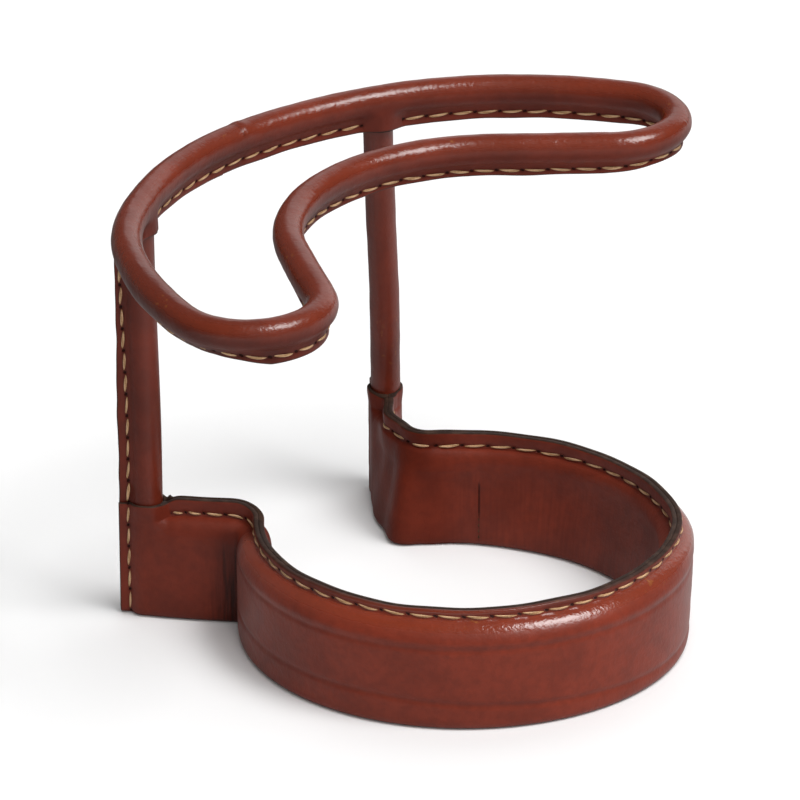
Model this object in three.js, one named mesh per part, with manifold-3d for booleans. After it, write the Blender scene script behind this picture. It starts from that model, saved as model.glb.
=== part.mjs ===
import * as THREE from "three";
import { mergeVertices } from "three/addons/utils/BufferGeometryUtils.js";
import Module from "manifold-3d";

const wasm = await Module();
wasm.setup();

// A bottle carrier: a leather-covered steel frame. Sizes are in millimetres and degrees.
// The ring stands on the floor round +Z and its mouth faces -X. Left is +Y and right is -Y.

// Steel and leather
const ROD_R = 2; // rod of the posts and of the loop
const LEATHER_T = 1.4; // one layer of cover
const WRAP_GAP = 0.1; // slack between a steel core and the leather drawn over it
const WELD_GAP = 0.2; // between steel pieces where the weld is laid
const SEAM_SLIT = 0.3; // between the two layers of a sewn seam
const SLEEVE_R = ROD_R + WRAP_GAP + LEATHER_T; // outside of a covered rod
const SEAM_HALF = SEAM_SLIT / 2 + LEATHER_T; // half the thickness of a sewn seam
const SKIVED_T = 0.6; // cover thinned where it closes round a post
const SOCKET_GAP = 0.1; // between a post sleeve and the cover sewn round it
const FIN_GAP = 0.15; // between a post fin and the cover that closes over it

// Stitching
const STITCH_PITCH = 5;
const STITCH_DIP = 0.4; // depth of the groove the thread lies in
const GROOVE_HALF = 0.8; // half the width of that groove
const THREAD_MID = 0.5; // half the thread's thickness in the middle of a stitch
const THREAD_END = 0.22; // half its thickness where it enters the leather
const THREAD_LIFT = 0.16; // slack between thread and groove
const STITCH_STOP = 5.4; // last hole to the axis of the post that ends the row

// Ring
const RING_R = 47; // centre line of the band
const BAND_T = 11; // thickness of the covered band
const FLANGE_TOP = 28; // top edge of the standing seam
const FLANGE_H = 5; // height of the standing seam
const FLANGE_STITCH = 2.6; // stitch row below the top edge
const SHOULDER_H = 3.7; // height of the rounding under the seam
const FOOT_R = 1.8; // rounding of the fold at the floor
const STRAP_T = 4; // flat bar inside the band
const STRAP_LOW = 1.6; // floor to the bar's lower edge
const STRAP_SHY = 2.4; // root of the seam to the bar's upper edge
const LINER_SHY = 0.5; // liner edges to the ends of the cover's flat face
const CORE_HALF = BAND_T / 2 - LEATHER_T; // half the room inside the cover
const DART_ANGLE = 126.9; // sewn dart on the inside of the ring
const DART_TOP = 14;
const DART_DIP = 0.6;
const DART_PITCH = 2.75;
const DART_THREAD = 0.3;

// Ears, posts and fins
const EAR_ANGLE = 33.85; // each ear from the middle of the mouth
const NECK_R = 6; // bend of the centre line from ear to ring
const FIN_REACH = 6.4; // rod axis to the outer edge of a seam
const FIN_STITCH = 4.7; // rod axis to the stitch row
const SLEEVE_LOW = 2.5; // floor to the lower end of a post sleeve

// Loop
const LOOP_Z = 101.5; // centre line above the floor
const LOOP_BACK_R = 85.5; // hand bar
const HAND_REACH = 24.6; // ring's centre line to the middle of the hand bar
const LOOP_TIP_R = 15.7;
const LOOP_TIP_X = 6.5; // foremost point of a tip's centre line
const LOOP_FLANK = 26.6; // straight between a tip and the hollow that the bottle leans in
const BOTTLE_ROOM = 75.2; // inside of the ring's front to the hollow
const LOOP_TWIST = 3.7; // turn of the loop on the ring's axis
const LOOP_FIN = 6.1; // loop axis to the lower edge of its seam
const LOOP_SEAM = 0.4; // gap where the two ends of the cover meet
const COLLAR_CEILING = 4.2; // loop axis to the top of the pocket for a post sleeve
const SLEEVE_TOP_GAP = 0.3; // between that pocket and the sleeve's end

// Fineness of round forms
const RING_STEP = 7;
const NECK_STEP = 1.5;
const LOOP_STEP = 9;
const TIP_STEP = 5.2;
const TUBE_SIDES = 10;
const BORE_SIDES = 8;
const SHOULDER_SIDES = 3;

const LEATHER_COLOUR = 0x7a3a28;
const STEEL_COLOUR = 0x8c8f93;
const LINER_COLOUR = 0x8a7458;
const THREAD_COLOUR = 0xc4a06a;
const DART_COLOUR = 0x3a241c;

const UP = new THREE.Vector3(0, 0, 1);
const radians = THREE.MathUtils.degToRad;

// Even places from one run to another, ends included.
function spread(from, to, step) {
  const count = Math.max(1, Math.ceil((to - from) / step));
  return Array.from({ length: count + 1 }, (_, i) => from + ((to - from) * i) / count);
}

// A rail is a plan line as stations, each with its place, its left-hand normal and its run.
// The first place of each curve after the first is the last place of the curve before it.
function makeRail(pieces, closed) {
  const stations = [];
  let start = 0;
  pieces.forEach(({ curve, places }, piece) => {
    const length = curve.getLength();
    places.slice(piece === 0 ? 0 : 1).forEach((place) => {
      const t = Math.min(place / length, 1);
      const tangent = curve.getTangent(t);
      const normal = new THREE.Vector2(-tangent.y, tangent.x);
      stations.push({ point: curve.getPoint(t), normal, run: start + place });
    });
    start += length;
  });
  return { stations, length: start, closed };
}

// The rail at any run, on the straight between its two stations.
function railAt(rail, run) {
  const { stations, length, closed } = rail;
  const wanted = closed ? THREE.MathUtils.euclideanModulo(run, length) : run;
  let i = 0;
  while (i < stations.length - 2 && stations[i + 1].run <= wanted) {
    i += 1;
  }
  const share = (wanted - stations[i].run) / (stations[i + 1].run - stations[i].run);
  const point = stations[i].point.clone().lerp(stations[i + 1].point, share);
  const normal = stations[i].normal.clone().lerp(stations[i + 1].normal, share);
  return { point, normal, run };
}

// The stations of a rail between two runs, with new ones at those two.
function railBetween(rail, from, to) {
  const inner = rail.stations.filter(({ run }) => run > from + 0.05 && run < to - 0.05);
  return [railAt(rail, from), ...inner, railAt(rail, to)];
}

// A point at an offset to the left of a station and at a height.
function offset({ point, normal }, across, height) {
  return new THREE.Vector3(point.x + normal.x * across, point.y + normal.y * across, height);
}

// A closed skin through sections that all have the same number of corners.
// The outline of the two end sections closes it unless the sections run in a ring.
function loft(sections, startOutline, endOutline) {
  const corners = sections[0].length;
  const ring = startOutline === undefined;
  const index = [];
  const spans = ring ? sections.length : sections.length - 1;
  for (let i = 0; i < spans; i++) {
    const here = i * corners;
    const next = ((i + 1) % sections.length) * corners;
    for (let j = 0; j < corners; j++) {
      const k = (j + 1) % corners;
      index.push(here + j, here + k, next + k);
      index.push(here + j, next + k, next + j);
    }
  }
  if (!ring) {
    const last = (sections.length - 1) * corners;
    for (const [a, b, c] of THREE.ShapeUtils.triangulateShape(startOutline, [])) {
      index.push(a, c, b);
    }
    for (const [a, b, c] of THREE.ShapeUtils.triangulateShape(endOutline, [])) {
      index.push(last + a, last + b, last + c);
    }
  }
  const places = sections.flat().flatMap(({ x, y, z }) => [x, y, z]);
  const geometry = new THREE.BufferGeometry();
  geometry.setAttribute("position", new THREE.Float32BufferAttribute(places, 3));
  geometry.setIndex(index);
  return geometry;
}

// A skin whose outline, left offset by height, may change from station to station.
function sweep(stations, outlineAt, ring) {
  const outlines = stations.map(outlineAt);
  const sections = stations.map((station, i) =>
    outlines[i].map(({ x, y }) => offset(station, x, y)),
  );
  return ring ? loft(sections) : loft(sections, outlines[0], outlines.at(-1));
}

function toSolid(geometry) {
  const bare = geometry.clone();
  bare.deleteAttribute("normal");
  bare.deleteAttribute("uv");
  const merged = mergeVertices(bare, 1e-4);
  const vertProperties = merged.attributes.position.array;
  const triVerts = Uint32Array.from(merged.index.array);
  return new wasm.Manifold(new wasm.Mesh({ numProp: 3, vertProperties, triVerts }));
}

function toGeometry(solid) {
  const mesh = solid.getMesh();
  const geometry = new THREE.BufferGeometry();
  geometry.setAttribute("position", new THREE.BufferAttribute(mesh.vertProperties, mesh.numProp));
  geometry.setIndex(new THREE.BufferAttribute(mesh.triVerts, 1));
  return geometry;
}

function cut(geometry, ...tools) {
  return toGeometry(tools.reduce((solid, tool) => solid.subtract(toSolid(tool)), toSolid(geometry)));
}

// An upright cylinder between two heights.
function upright(radius, low, high, sides) {
  const cylinder = new THREE.CylinderGeometry(radius, radius, high - low, sides);
  return cylinder.rotateX(Math.PI / 2).translate(0, 0, (low + high) / 2);
}

// The points of an outline's half mirrored to its other side, in the order that goes on round.
function mirrored(points) {
  return points.map(({ x, y }) => new THREE.Vector2(-x, y)).reverse();
}

function toPoints(pairs) {
  return pairs.map(([x, y]) => new THREE.Vector2(x, y));
}

// Points on a circle round the origin between two angles.
function onCircle(radius, from, to, sides) {
  const angles = Array.from({ length: sides + 1 }, (_, i) => from + ((to - from) * i) / sides);
  return angles.map((a) => new THREE.Vector2(radius * Math.cos(a), radius * Math.sin(a)));
}

function rectangle(left, right, low, high) {
  return toPoints([
    [left, low],
    [right, low],
    [right, high],
    [left, high],
  ]);
}

// Half the width, at a distance along a cover, of a pocket round a post.
function pocket(radius, distance, least) {
  return Math.max(Math.sqrt(Math.max(radius ** 2 - distance ** 2, 0)), least);
}

// The loop's centre line in plan, from the middle of the hand bar round by the right tip.
const backCentre = new THREE.Vector2(LOOP_BACK_R - RING_R - HAND_REACH, 0);
const tipX = LOOP_TIP_X - LOOP_TIP_R;
const tipY = Math.sqrt((LOOP_BACK_R - LOOP_TIP_R) ** 2 - (tipX - backCentre.x) ** 2);

// The hollow's circle passes the bottle's room and touches both flanks, each of the flank's length.
const restX = RING_R - BAND_T / 2 - BOTTLE_ROOM - SLEEVE_R;
const tipAhead = tipX - restX;
const tipPower = tipAhead ** 2 + tipY ** 2 - LOOP_TIP_R ** 2;
const restR = (tipPower - LOOP_FLANK ** 2) / (2 * (tipAhead + LOOP_TIP_R));
const restCentre = new THREE.Vector2(restX + restR, 0);
const tipAngle = Math.atan2(tipY, tipX - backCentre.x); // where the hand bar runs into a tip
const toTip = new THREE.Vector2(tipX - restCentre.x, tipY);
const flankAngle = toTip.angle() + Math.acos((restR + LOOP_TIP_R) / toTip.length());
const twist = radians(LOOP_TWIST);
const origin = new THREE.Vector2();

function twisted(x, y) {
  return new THREE.Vector2(x, y).rotateAround(origin, twist);
}

function arc(centre, radius, from, to) {
  const place = twisted(centre.x, centre.y);
  return new THREE.EllipseCurve(
    place.x, place.y, radius, radius, from + twist, to + twist, to < from,
  );
}

// The end of a flank line: on the rest's circle or on a tip's circle, on either side.
function flankEnd(centre, radius, side) {
  const x = centre.x + radius * Math.cos(flankAngle);
  const y = centre.y + radius * Math.sin(flankAngle);
  return twisted(x, side * y);
}

const tipCentre = new THREE.Vector2(tipX, tipY);
const tipCentreRight = new THREE.Vector2(tipX, -tipY);
const turn = 2 * Math.PI;
const handRight = arc(backCentre, LOOP_BACK_R, Math.PI, turn - tipAngle);
const tipRight = arc(tipCentreRight, LOOP_TIP_R, turn - tipAngle, turn + Math.PI - flankAngle);
const flankRight = new THREE.LineCurve(
  flankEnd(tipCentre, -LOOP_TIP_R, -1),
  flankEnd(restCentre, restR, -1),
);
const rest = arc(restCentre, restR, turn - flankAngle, flankAngle);
const flankLeft = new THREE.LineCurve(
  flankEnd(restCentre, restR, 1),
  flankEnd(tipCentre, -LOOP_TIP_R, 1),
);
const tipLeft = arc(tipCentre, LOOP_TIP_R, flankAngle - Math.PI, tipAngle);
const handLeft = arc(backCentre, LOOP_BACK_R, tipAngle, Math.PI);

// Each post stands where the radial line of its ear passes under the hand bar.
function makePost(side) {
  const angle = Math.PI - side * radians(EAR_ANGLE);
  const out = new THREE.Vector2(Math.cos(angle), Math.sin(angle));
  const centre = twisted(backCentre.x, backCentre.y);
  const along = out.dot(centre);
  const reach = along + Math.sqrt(along ** 2 - centre.lengthSq() + LOOP_BACK_R ** 2);
  const place = out.clone().multiplyScalar(reach);
  const swing = place.clone().sub(centre).rotateAround(origin, -twist).angle();
  const fromMiddle = Math.abs(swing - Math.PI) * LOOP_BACK_R;
  return { angle, out, reach, place, fromMiddle };
}

const leftPost = makePost(1);
const rightPost = makePost(-1);

// Distances from a post's axis at which a cover that opens round it changes.
const pocketTurn = Math.PI / 6;
const pocketR = (SLEEVE_R + SOCKET_GAP) / Math.cos(pocketTurn / 2);
const pocketOut = pocketR + SKIVED_T;
const pocketSteps = [2, 1].map((turns) => pocketR * Math.cos(turns * pocketTurn));
const pocketEdge = pocketR + 0.05;
const pinchEdge = Math.max(Math.sqrt(pocketOut ** 2 - SEAM_HALF ** 2), pocketEdge + 0.4);
const halfSteps = [...pocketSteps, pocketEdge, pinchEdge];
const pocketPlaces = [...halfSteps.map((d) => -d).reverse(), 0, ...halfSteps];

// Places along one half of the hand bar, closer together under the post.
function handPlaces(curve, post, reversed) {
  const length = curve.getLength();
  const near = pocketPlaces.map((d) => post.fromMiddle + d);
  const before = spread(LOOP_SEAM / 2, near[0], LOOP_STEP).slice(0, -1);
  const after = spread(near.at(-1), length, LOOP_STEP).slice(1);
  const places = [...before, ...near, ...after];
  return reversed ? places.map((place) => length - place).reverse() : places;
}

function evenPlaces(curve, step) {
  return spread(0, curve.getLength(), step);
}

const loopRail = makeRail(
  [
    { curve: handRight, places: handPlaces(handRight, rightPost, false) },
    { curve: tipRight, places: evenPlaces(tipRight, TIP_STEP) },
    { curve: flankRight, places: evenPlaces(flankRight, LOOP_STEP) },
    { curve: rest, places: evenPlaces(rest, LOOP_STEP) },
    { curve: flankLeft, places: evenPlaces(flankLeft, LOOP_STEP) },
    { curve: tipLeft, places: evenPlaces(tipLeft, TIP_STEP) },
    { curve: handLeft, places: handPlaces(handLeft, leftPost, true) },
  ],
  true,
);
const loopPosts = [rightPost.fromMiddle, loopRail.length - leftPost.fromMiddle];

// The band's centre line in plan: in along the right ear, round the ring, out along the left ear.
const neckAngle = Math.asin(NECK_R / (RING_R + NECK_R));
const neckFoot = (RING_R + NECK_R) * Math.cos(neckAngle); // where an ear's straight ends

function neck(post, side) {
  const angle = post.angle - side * neckAngle;
  const x = (RING_R + NECK_R) * Math.cos(angle);
  const y = (RING_R + NECK_R) * Math.sin(angle);
  const earEnd = post.angle + (side * Math.PI) / 2;
  const ringEnd = angle + Math.PI;
  const from = side > 0 ? ringEnd : earEnd;
  const to = side > 0 ? earEnd : ringEnd;
  const swing = THREE.MathUtils.euclideanModulo(from - to, turn);
  return new THREE.EllipseCurve(x, y, NECK_R, NECK_R, from, from - swing, true);
}

function earLine(post, inward) {
  const outer = post.out.clone().multiplyScalar(post.reach + FIN_REACH);
  const inner = post.out.clone().multiplyScalar(neckFoot);
  return inward ? new THREE.LineCurve(outer, inner) : new THREE.LineCurve(inner, outer);
}

// Distances from the post's axis, outwards positive, at which an ear changes.
const finSteps = [FIN_STITCH + GROOVE_HALF, FIN_STITCH, FIN_STITCH - GROOVE_HALF];
const earSteps = [FIN_REACH, ...finSteps, ...pocketPlaces.slice(1, -2).reverse(), -pinchEdge];

function earPlaces(curve, inward) {
  const length = curve.getLength();
  const places = [...earSteps.map((d) => FIN_REACH - d), length];
  return inward ? places : places.map((place) => length - place).reverse();
}

const ringStart = rightPost.angle + neckAngle;
const ringEnd = leftPost.angle - neckAngle + turn;
const ringArc = new THREE.EllipseCurve(0, 0, RING_R, RING_R, ringStart, ringEnd, false);
const rightEar = earLine(rightPost, true);
const leftEar = earLine(leftPost, false);
const rightNeck = neck(rightPost, -1);
const leftNeck = neck(leftPost, 1);
const bandRail = makeRail(
  [
    { curve: rightEar, places: earPlaces(rightEar, true) },
    { curve: rightNeck, places: evenPlaces(rightNeck, NECK_STEP) },
    { curve: ringArc, places: evenPlaces(ringArc, RING_STEP) },
    { curve: leftNeck, places: evenPlaces(leftNeck, NECK_STEP) },
    { curve: leftEar, places: earPlaces(leftEar, false) },
  ],
  false,
);

// The cover thins and the band narrows from the ring along the neck and the ear to the post.
const earLength = rightPost.reach - neckFoot + rightNeck.getLength();

// Distance outwards from the nearer post's axis, along the band.
function pastPost(run) {
  return FIN_REACH - Math.min(run, bandRail.length - run);
}

const finOpen = SEAM_HALF + FIN_GAP; // half the room for a post fin inside an ear
const finFace = finOpen + SKIVED_T;
const seamRoot = FLANGE_TOP - FLANGE_H;
const faceTop = seamRoot - SHOULDER_H;
const flangeStitchZ = FLANGE_TOP - FLANGE_STITCH;

// Half widths of the cover at a distance from the post: inside and outside, of seam and of band.
function bandWidths(distance) {
  const outwards = distance > 0;
  const groove = Math.abs(distance - FIN_STITCH) < 0.01 ? STITCH_DIP : 0;
  const seamIn = pocket(pocketR, distance, outwards ? finOpen : SEAM_SLIT / 2);
  const seamOut = pocket(pocketOut, distance, outwards ? finFace : SEAM_HALF) - groove;
  const blend = THREE.MathUtils.clamp(-distance / earLength, 0, 1);
  const bandIn = outwards ? seamIn : THREE.MathUtils.lerp(pocketR, CORE_HALF, blend);
  const bandOut = outwards ? seamOut : THREE.MathUtils.lerp(pocketOut, BAND_T / 2, blend);
  return { seamIn, seamOut, bandIn, bandOut };
}

// The folded cover of the band: closed at the floor, its two edges sewn into a standing seam.
function bandOutline({ run }) {
  const { seamIn, seamOut, bandIn, bandOut } = bandWidths(pastPost(run));
  const pinched = seamOut < SEAM_HALF + 0.01;
  const dip = pinched ? STITCH_DIP : 0;
  const half = [
    [bandOut - FOOT_R, 0],
    [bandOut - FOOT_R * (1 - Math.SQRT1_2), FOOT_R * (1 - Math.SQRT1_2)],
    [bandOut, FOOT_R],
  ];
  for (let i = 0; i <= SHOULDER_SIDES; i++) {
    const angle = (Math.PI / 2) * (i / SHOULDER_SIDES);
    const across = seamOut + (bandOut - seamOut) * Math.cos(angle);
    half.push([across, faceTop + SHOULDER_H * Math.sin(angle)]);
  }
  half.push([seamOut, flangeStitchZ - GROOVE_HALF]);
  half.push([seamOut - dip, flangeStitchZ]);
  half.push([seamOut, flangeStitchZ + GROOVE_HALF]);
  half.push([seamOut, FLANGE_TOP]);
  half.push([seamIn, FLANGE_TOP]);
  half.push([seamIn, seamRoot - LEATHER_T]);
  const bow = SHOULDER_H - LEATHER_T;
  const inner = seamIn + (bandIn - seamIn) * Math.SQRT1_2;
  half.push([inner, faceTop + bow * Math.SQRT1_2]);
  half.push([bandIn, faceTop]);
  half.push([bandIn, FOOT_R]);
  half.push([bandIn - FOOT_R + LEATHER_T, LEATHER_T]);
  const right = toPoints(half);
  return [...right, ...mirrored(right)];
}

// The sleeve of the loop: a tube with its seam hanging below, opened round the posts as a collar.
function loopOutline({ run }) {
  const distance = Math.min(...loopPosts.map((place) => Math.abs(run - place)));
  const seamIn = pocket(pocketR, distance, SEAM_SLIT / 2);
  const seamOut = pocket(pocketOut, distance, SEAM_HALF);
  const open = (seamOut - SEAM_HALF) / (pocketOut - SEAM_HALF);
  const dip = open < 0.01 ? STITCH_DIP : 0;
  const fin = toPoints([
    [seamOut, -LOOP_FIN],
    [seamOut, -FIN_STITCH - GROOVE_HALF],
    [seamOut - dip, -FIN_STITCH],
    [seamOut, -FIN_STITCH + GROOVE_HALF],
  ]);
  const throat = toPoints([
    [SEAM_SLIT / 2, -COLLAR_CEILING + SEAM_SLIT],
    [seamIn, -COLLAR_CEILING],
    [seamIn, -LOOP_FIN],
  ]);
  const start = -Math.acos(SEAM_HALF / SLEEVE_R) * (1 - open);
  const boreR = (ROD_R + WRAP_GAP) / Math.cos(Math.PI / BORE_SIDES);
  const boreStart = -Math.acos(SEAM_SLIT / 2 / boreR);
  const tube = onCircle(SLEEVE_R, start, Math.PI - start, TUBE_SIDES);
  const bore = onCircle(boreR, Math.PI - boreStart, boreStart, BORE_SIDES);
  const outline = [...fin, ...tube, ...mirrored(fin), ...mirrored(throat), ...bore, ...throat];
  return outline.map(({ x, y }) => new THREE.Vector2(x, y + LOOP_Z));
}

const rodCircle = onCircle(ROD_R, 0, turn, BORE_SIDES).slice(1);
const rodOutline = rodCircle.map(({ x, y }) => new THREE.Vector2(x, y + LOOP_Z));

// A form made at the origin with its fin along +X, set at a post.
function atPost(geometry, post) {
  return geometry.rotateZ(post.angle).translate(post.place.x, post.place.y, 0);
}

const strapTop = seamRoot - STRAP_SHY;
const collarLow = LOOP_Z - LOOP_FIN;

// A post's sleeve: a tube with its seam as a fin, slotted over the flat bar, its fin cut back
// where the tube enters the collar.
function postSleeve(post) {
  const shape = new THREE.Shape();
  const seat = Math.sqrt(SLEEVE_R ** 2 - SEAM_HALF ** 2);
  const start = Math.atan2(SEAM_HALF, seat);
  const boreR = (ROD_R + WRAP_GAP) / Math.cos(Math.PI / TUBE_SIDES);
  const boreStart = Math.asin(SEAM_SLIT / 2 / boreR);
  shape.moveTo(FIN_REACH, SEAM_HALF);
  shape.lineTo(FIN_STITCH + GROOVE_HALF, SEAM_HALF);
  shape.lineTo(FIN_STITCH, SEAM_HALF - STITCH_DIP);
  shape.lineTo(FIN_STITCH - GROOVE_HALF, SEAM_HALF);
  shape.absarc(0, 0, SLEEVE_R, start, turn - start, false);
  shape.lineTo(FIN_STITCH - GROOVE_HALF, -SEAM_HALF);
  shape.lineTo(FIN_STITCH, STITCH_DIP - SEAM_HALF);
  shape.lineTo(FIN_STITCH + GROOVE_HALF, -SEAM_HALF);
  shape.lineTo(FIN_REACH, -SEAM_HALF);
  shape.lineTo(FIN_REACH, -SEAM_SLIT / 2);
  shape.absarc(0, 0, boreR, turn - boreStart, boreStart, true);
  shape.lineTo(FIN_REACH, SEAM_SLIT / 2);
  shape.closePath();
  const top = LOOP_Z - COLLAR_CEILING - SLEEVE_TOP_GAP;
  const depth = top - SLEEVE_LOW;
  const blank = new THREE.ExtrudeGeometry(shape, {
    depth,
    bevelEnabled: false,
    curveSegments: 2 * TUBE_SIDES - 4,
  });
  const slotTop = strapTop + FIN_GAP;
  const slot = new THREE.BoxGeometry(2 * SLEEVE_R, STRAP_T + 2 * FIN_GAP, 2 * slotTop);
  const finTop = new THREE.BoxGeometry(FIN_REACH, 2 * SLEEVE_R, FIN_REACH);
  const finEnd = collarLow - SLEEVE_TOP_GAP;
  const cutBack = seat - 0.05;
  blank.translate(0, 0, SLEEVE_LOW);
  slot.translate(-SLEEVE_R, 0, 0);
  finTop.translate(cutBack + FIN_REACH / 2, 0, finEnd + FIN_REACH / 2);
  return atPost(cut(blank, slot, finTop), post);
}

// A post's rod, with its upper end coped to the loop's rod.
function postRod(post, run) {
  const rod = upright(ROD_R, STRAP_LOW, LOOP_Z, TUBE_SIDES);
  const { normal } = railAt(loopRail, run);
  const copeR = (ROD_R + WELD_GAP) / Math.cos(Math.PI / BORE_SIDES);
  const cope = new THREE.CylinderGeometry(copeR, copeR, 6 * ROD_R, 2 * BORE_SIDES);
  rod.translate(post.place.x, post.place.y, 0);
  cope.rotateZ(normal.angle());
  cope.translate(post.place.x, post.place.y, LOOP_Z);
  return cut(rod, cope);
}

// One thread: a strand that swells over each stitch and dips into the holes between stitches.
// The seat gives, at a share of the row, the floor of its groove, its way out and its way across.
function thread(seatAt, length, pitch, thick) {
  const stitches = Math.max(1, Math.round(length / pitch));
  const sections = [];
  for (let i = 0; i <= 2 * stitches; i++) {
    const { floor, out, across } = seatAt(i / (2 * stitches));
    const half = i % 2 === 0 ? THREAD_END : thick;
    const centre = floor.clone().addScaledVector(out, THREAD_LIFT + half);
    sections.push([
      centre.clone().addScaledVector(out, -half),
      centre.clone().addScaledVector(out, 0.5 * half).addScaledVector(across, 0.9 * half),
      centre.clone().addScaledVector(out, 0.5 * half).addScaledVector(across, -0.9 * half),
    ]);
  }
  const triangle = [new THREE.Vector2(0, -1), new THREE.Vector2(1, 1), new THREE.Vector2(-1, 1)];
  const along = sections[2][0].clone().sub(sections[0][0]);
  const [a, b, c] = sections[0];
  const facing = b.clone().sub(a).cross(c.clone().sub(a)).dot(along);
  const ordered = facing > 0 ? sections : sections.map(([p, q, r]) => [p, r, q]);
  return loft(ordered, triangle, triangle);
}

// A thread along a rail, on its left (1) or right (-1), in a groove at an offset and a height.
function railThread(rail, from, to, side, depth, height) {
  const seatAt = (share) => {
    const station = railAt(rail, from + (to - from) * share);
    const out = new THREE.Vector3(station.normal.x, station.normal.y, 0).multiplyScalar(side);
    return { floor: offset(station, side * depth, height), out, across: UP };
  };
  return thread(seatAt, to - from, STITCH_PITCH, THREAD_MID);
}

// A thread up a post's fin, over the ear and on over the sleeve; its side is as on the band's rail.
function postThread(post, side) {
  const low = FLANGE_TOP - Math.floor((FLANGE_TOP - SLEEVE_LOW) / STITCH_PITCH) * STITCH_PITCH;
  const rows = Math.floor((collarLow - STITCH_PITCH / 2 - low) / STITCH_PITCH);
  const length = rows * STITCH_PITCH;
  const outwards = new THREE.Vector3(post.out.x, post.out.y, 0);
  const out = UP.clone().cross(outwards).multiplyScalar(side);
  const base = new THREE.Vector3(post.place.x, post.place.y, 0);
  base.addScaledVector(outwards, FIN_STITCH);
  const seatAt = (share) => {
    const height = low + length * share;
    const face = height < FLANGE_TOP + 0.1 ? finFace : SEAM_HALF;
    const floor = base.clone().addScaledVector(out, face - STITCH_DIP).setZ(height);
    return { floor, out, across: outwards };
  };
  return thread(seatAt, length, STITCH_PITCH, THREAD_MID);
}

// The dart's groove and its thread, upright on the inside of the ring.
const dartRun = rightEar.getLength() + rightNeck.getLength();
const dartSwing = radians(DART_ANGLE) + turn - ringStart;
const dart = railAt(bandRail, dartRun + dartSwing * RING_R);

function dartGroove() {
  const side = DART_DIP * Math.SQRT2;
  const groove = new THREE.BoxGeometry(side, side, 2 * DART_TOP);
  const face = offset(dart, BAND_T / 2, 0);
  return groove.rotateZ(Math.PI / 4 + dart.normal.angle()).translate(face.x, face.y, face.z);
}

function dartThread() {
  const out = new THREE.Vector3(dart.normal.x, dart.normal.y, 0);
  const across = UP.clone().cross(out);
  const low = FOOT_R;
  const length = DART_TOP - 1 - low;
  const seatAt = (share) => {
    const floor = offset(dart, BAND_T / 2 - DART_DIP, low + length * share);
    return { floor, out, across };
  };
  return thread(seatAt, length, DART_PITCH, DART_THREAD);
}

const group = new THREE.Group();
group.name = "bottle_carrier";

function add(name, geometry, color, roughness, metalness) {
  const material = new THREE.MeshStandardMaterial({ color, roughness, metalness });
  const mesh = new THREE.Mesh(geometry, material);
  mesh.name = name;
  group.add(mesh);
}

function addSteel(name, geometry) {
  add(name, geometry, STEEL_COLOUR, 0.45, 1);
}

function addLeather(name, geometry) {
  add(name, geometry, LEATHER_COLOUR, 0.42, 0);
}

function addThread(name, geometry) {
  add(name, geometry, THREAD_COLOUR, 0.8, 0);
}

// Steel frame
const strapStart = FIN_REACH + ROD_R + WELD_GAP;
const strapRun = railBetween(bandRail, strapStart, bandRail.length - strapStart);
const strapOutline = rectangle(-STRAP_T / 2, STRAP_T / 2, STRAP_LOW, strapTop);
addSteel("base_strap", sweep(strapRun, () => strapOutline));
addSteel("loop_rod", sweep(loopRail.stations, () => rodOutline, true));
addSteel("post_rod_left", postRod(leftPost, loopPosts[1]));
addSteel("post_rod_right", postRod(rightPost, loopPosts[0]));

// Strips between the flat bar and its cover
const linerStart = FIN_REACH + SLEEVE_R + SLEEVE_TOP_GAP;
const linerRun = railBetween(bandRail, linerStart, bandRail.length - linerStart);
const linerNear = STRAP_T / 2 + WRAP_GAP;
const linerLow = FOOT_R + LINER_SHY;
const linerHigh = faceTop - LINER_SHY;
const linerFar = ({ run }) => bandWidths(pastPost(run)).bandIn - WRAP_GAP;
const linerInner = (station) => rectangle(linerNear, linerFar(station), linerLow, linerHigh);
const linerOuter = (station) => rectangle(-linerFar(station), -linerNear, linerLow, linerHigh);
add("base_liner_inner", sweep(linerRun, linerInner), LINER_COLOUR, 0.9, 0);
add("base_liner_outer", sweep(linerRun, linerOuter), LINER_COLOUR, 0.9, 0);

// Leather
addLeather("base_cover", cut(sweep(bandRail.stations, bandOutline), dartGroove()));
addLeather("post_cover_left", postSleeve(leftPost));
addLeather("post_cover_right", postSleeve(rightPost));
const rodHoles = [leftPost, rightPost].map(({ place }) =>
  upright(ROD_R + WELD_GAP, collarLow, LOOP_Z, TUBE_SIDES).translate(place.x, place.y, 0),
);
addLeather("loop_cover", cut(sweep(loopRail.stations, loopOutline), ...rodHoles));

// Threads
const grooveFloor = SEAM_HALF - STITCH_DIP;
const bandStop = FIN_REACH + STITCH_STOP;
const bandEnd = bandRail.length - bandStop;
addThread("base_thread_inner", railThread(bandRail, bandStop, bandEnd, 1, grooveFloor, flangeStitchZ));
addThread("base_thread_outer", railThread(bandRail, bandStop, bandEnd, -1, grooveFloor, flangeStitchZ));
const loopStitchZ = LOOP_Z - FIN_STITCH;
const frontFrom = loopPosts[0] + STITCH_STOP;
const frontTo = loopPosts[1] - STITCH_STOP;
const backFrom = loopPosts[1] + STITCH_STOP;
const backTo = loopRail.length + loopPosts[0] - STITCH_STOP;
for (const [name, side] of [["inner", 1], ["outer", -1]]) {
  const front = railThread(loopRail, frontFrom, frontTo, side, grooveFloor, loopStitchZ);
  const back = railThread(loopRail, backFrom, backTo, side, grooveFloor, loopStitchZ);
  addThread("loop_thread_front_" + name, front);
  addThread("loop_thread_back_" + name, back);
}
addThread("post_thread_left_mouth", postThread(leftPost, 1));
addThread("post_thread_left_flank", postThread(leftPost, -1));
addThread("post_thread_right_mouth", postThread(rightPost, -1));
addThread("post_thread_right_flank", postThread(rightPost, 1));
add("dart_thread", dartThread(), DART_COLOUR, 0.85, 0);

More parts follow.
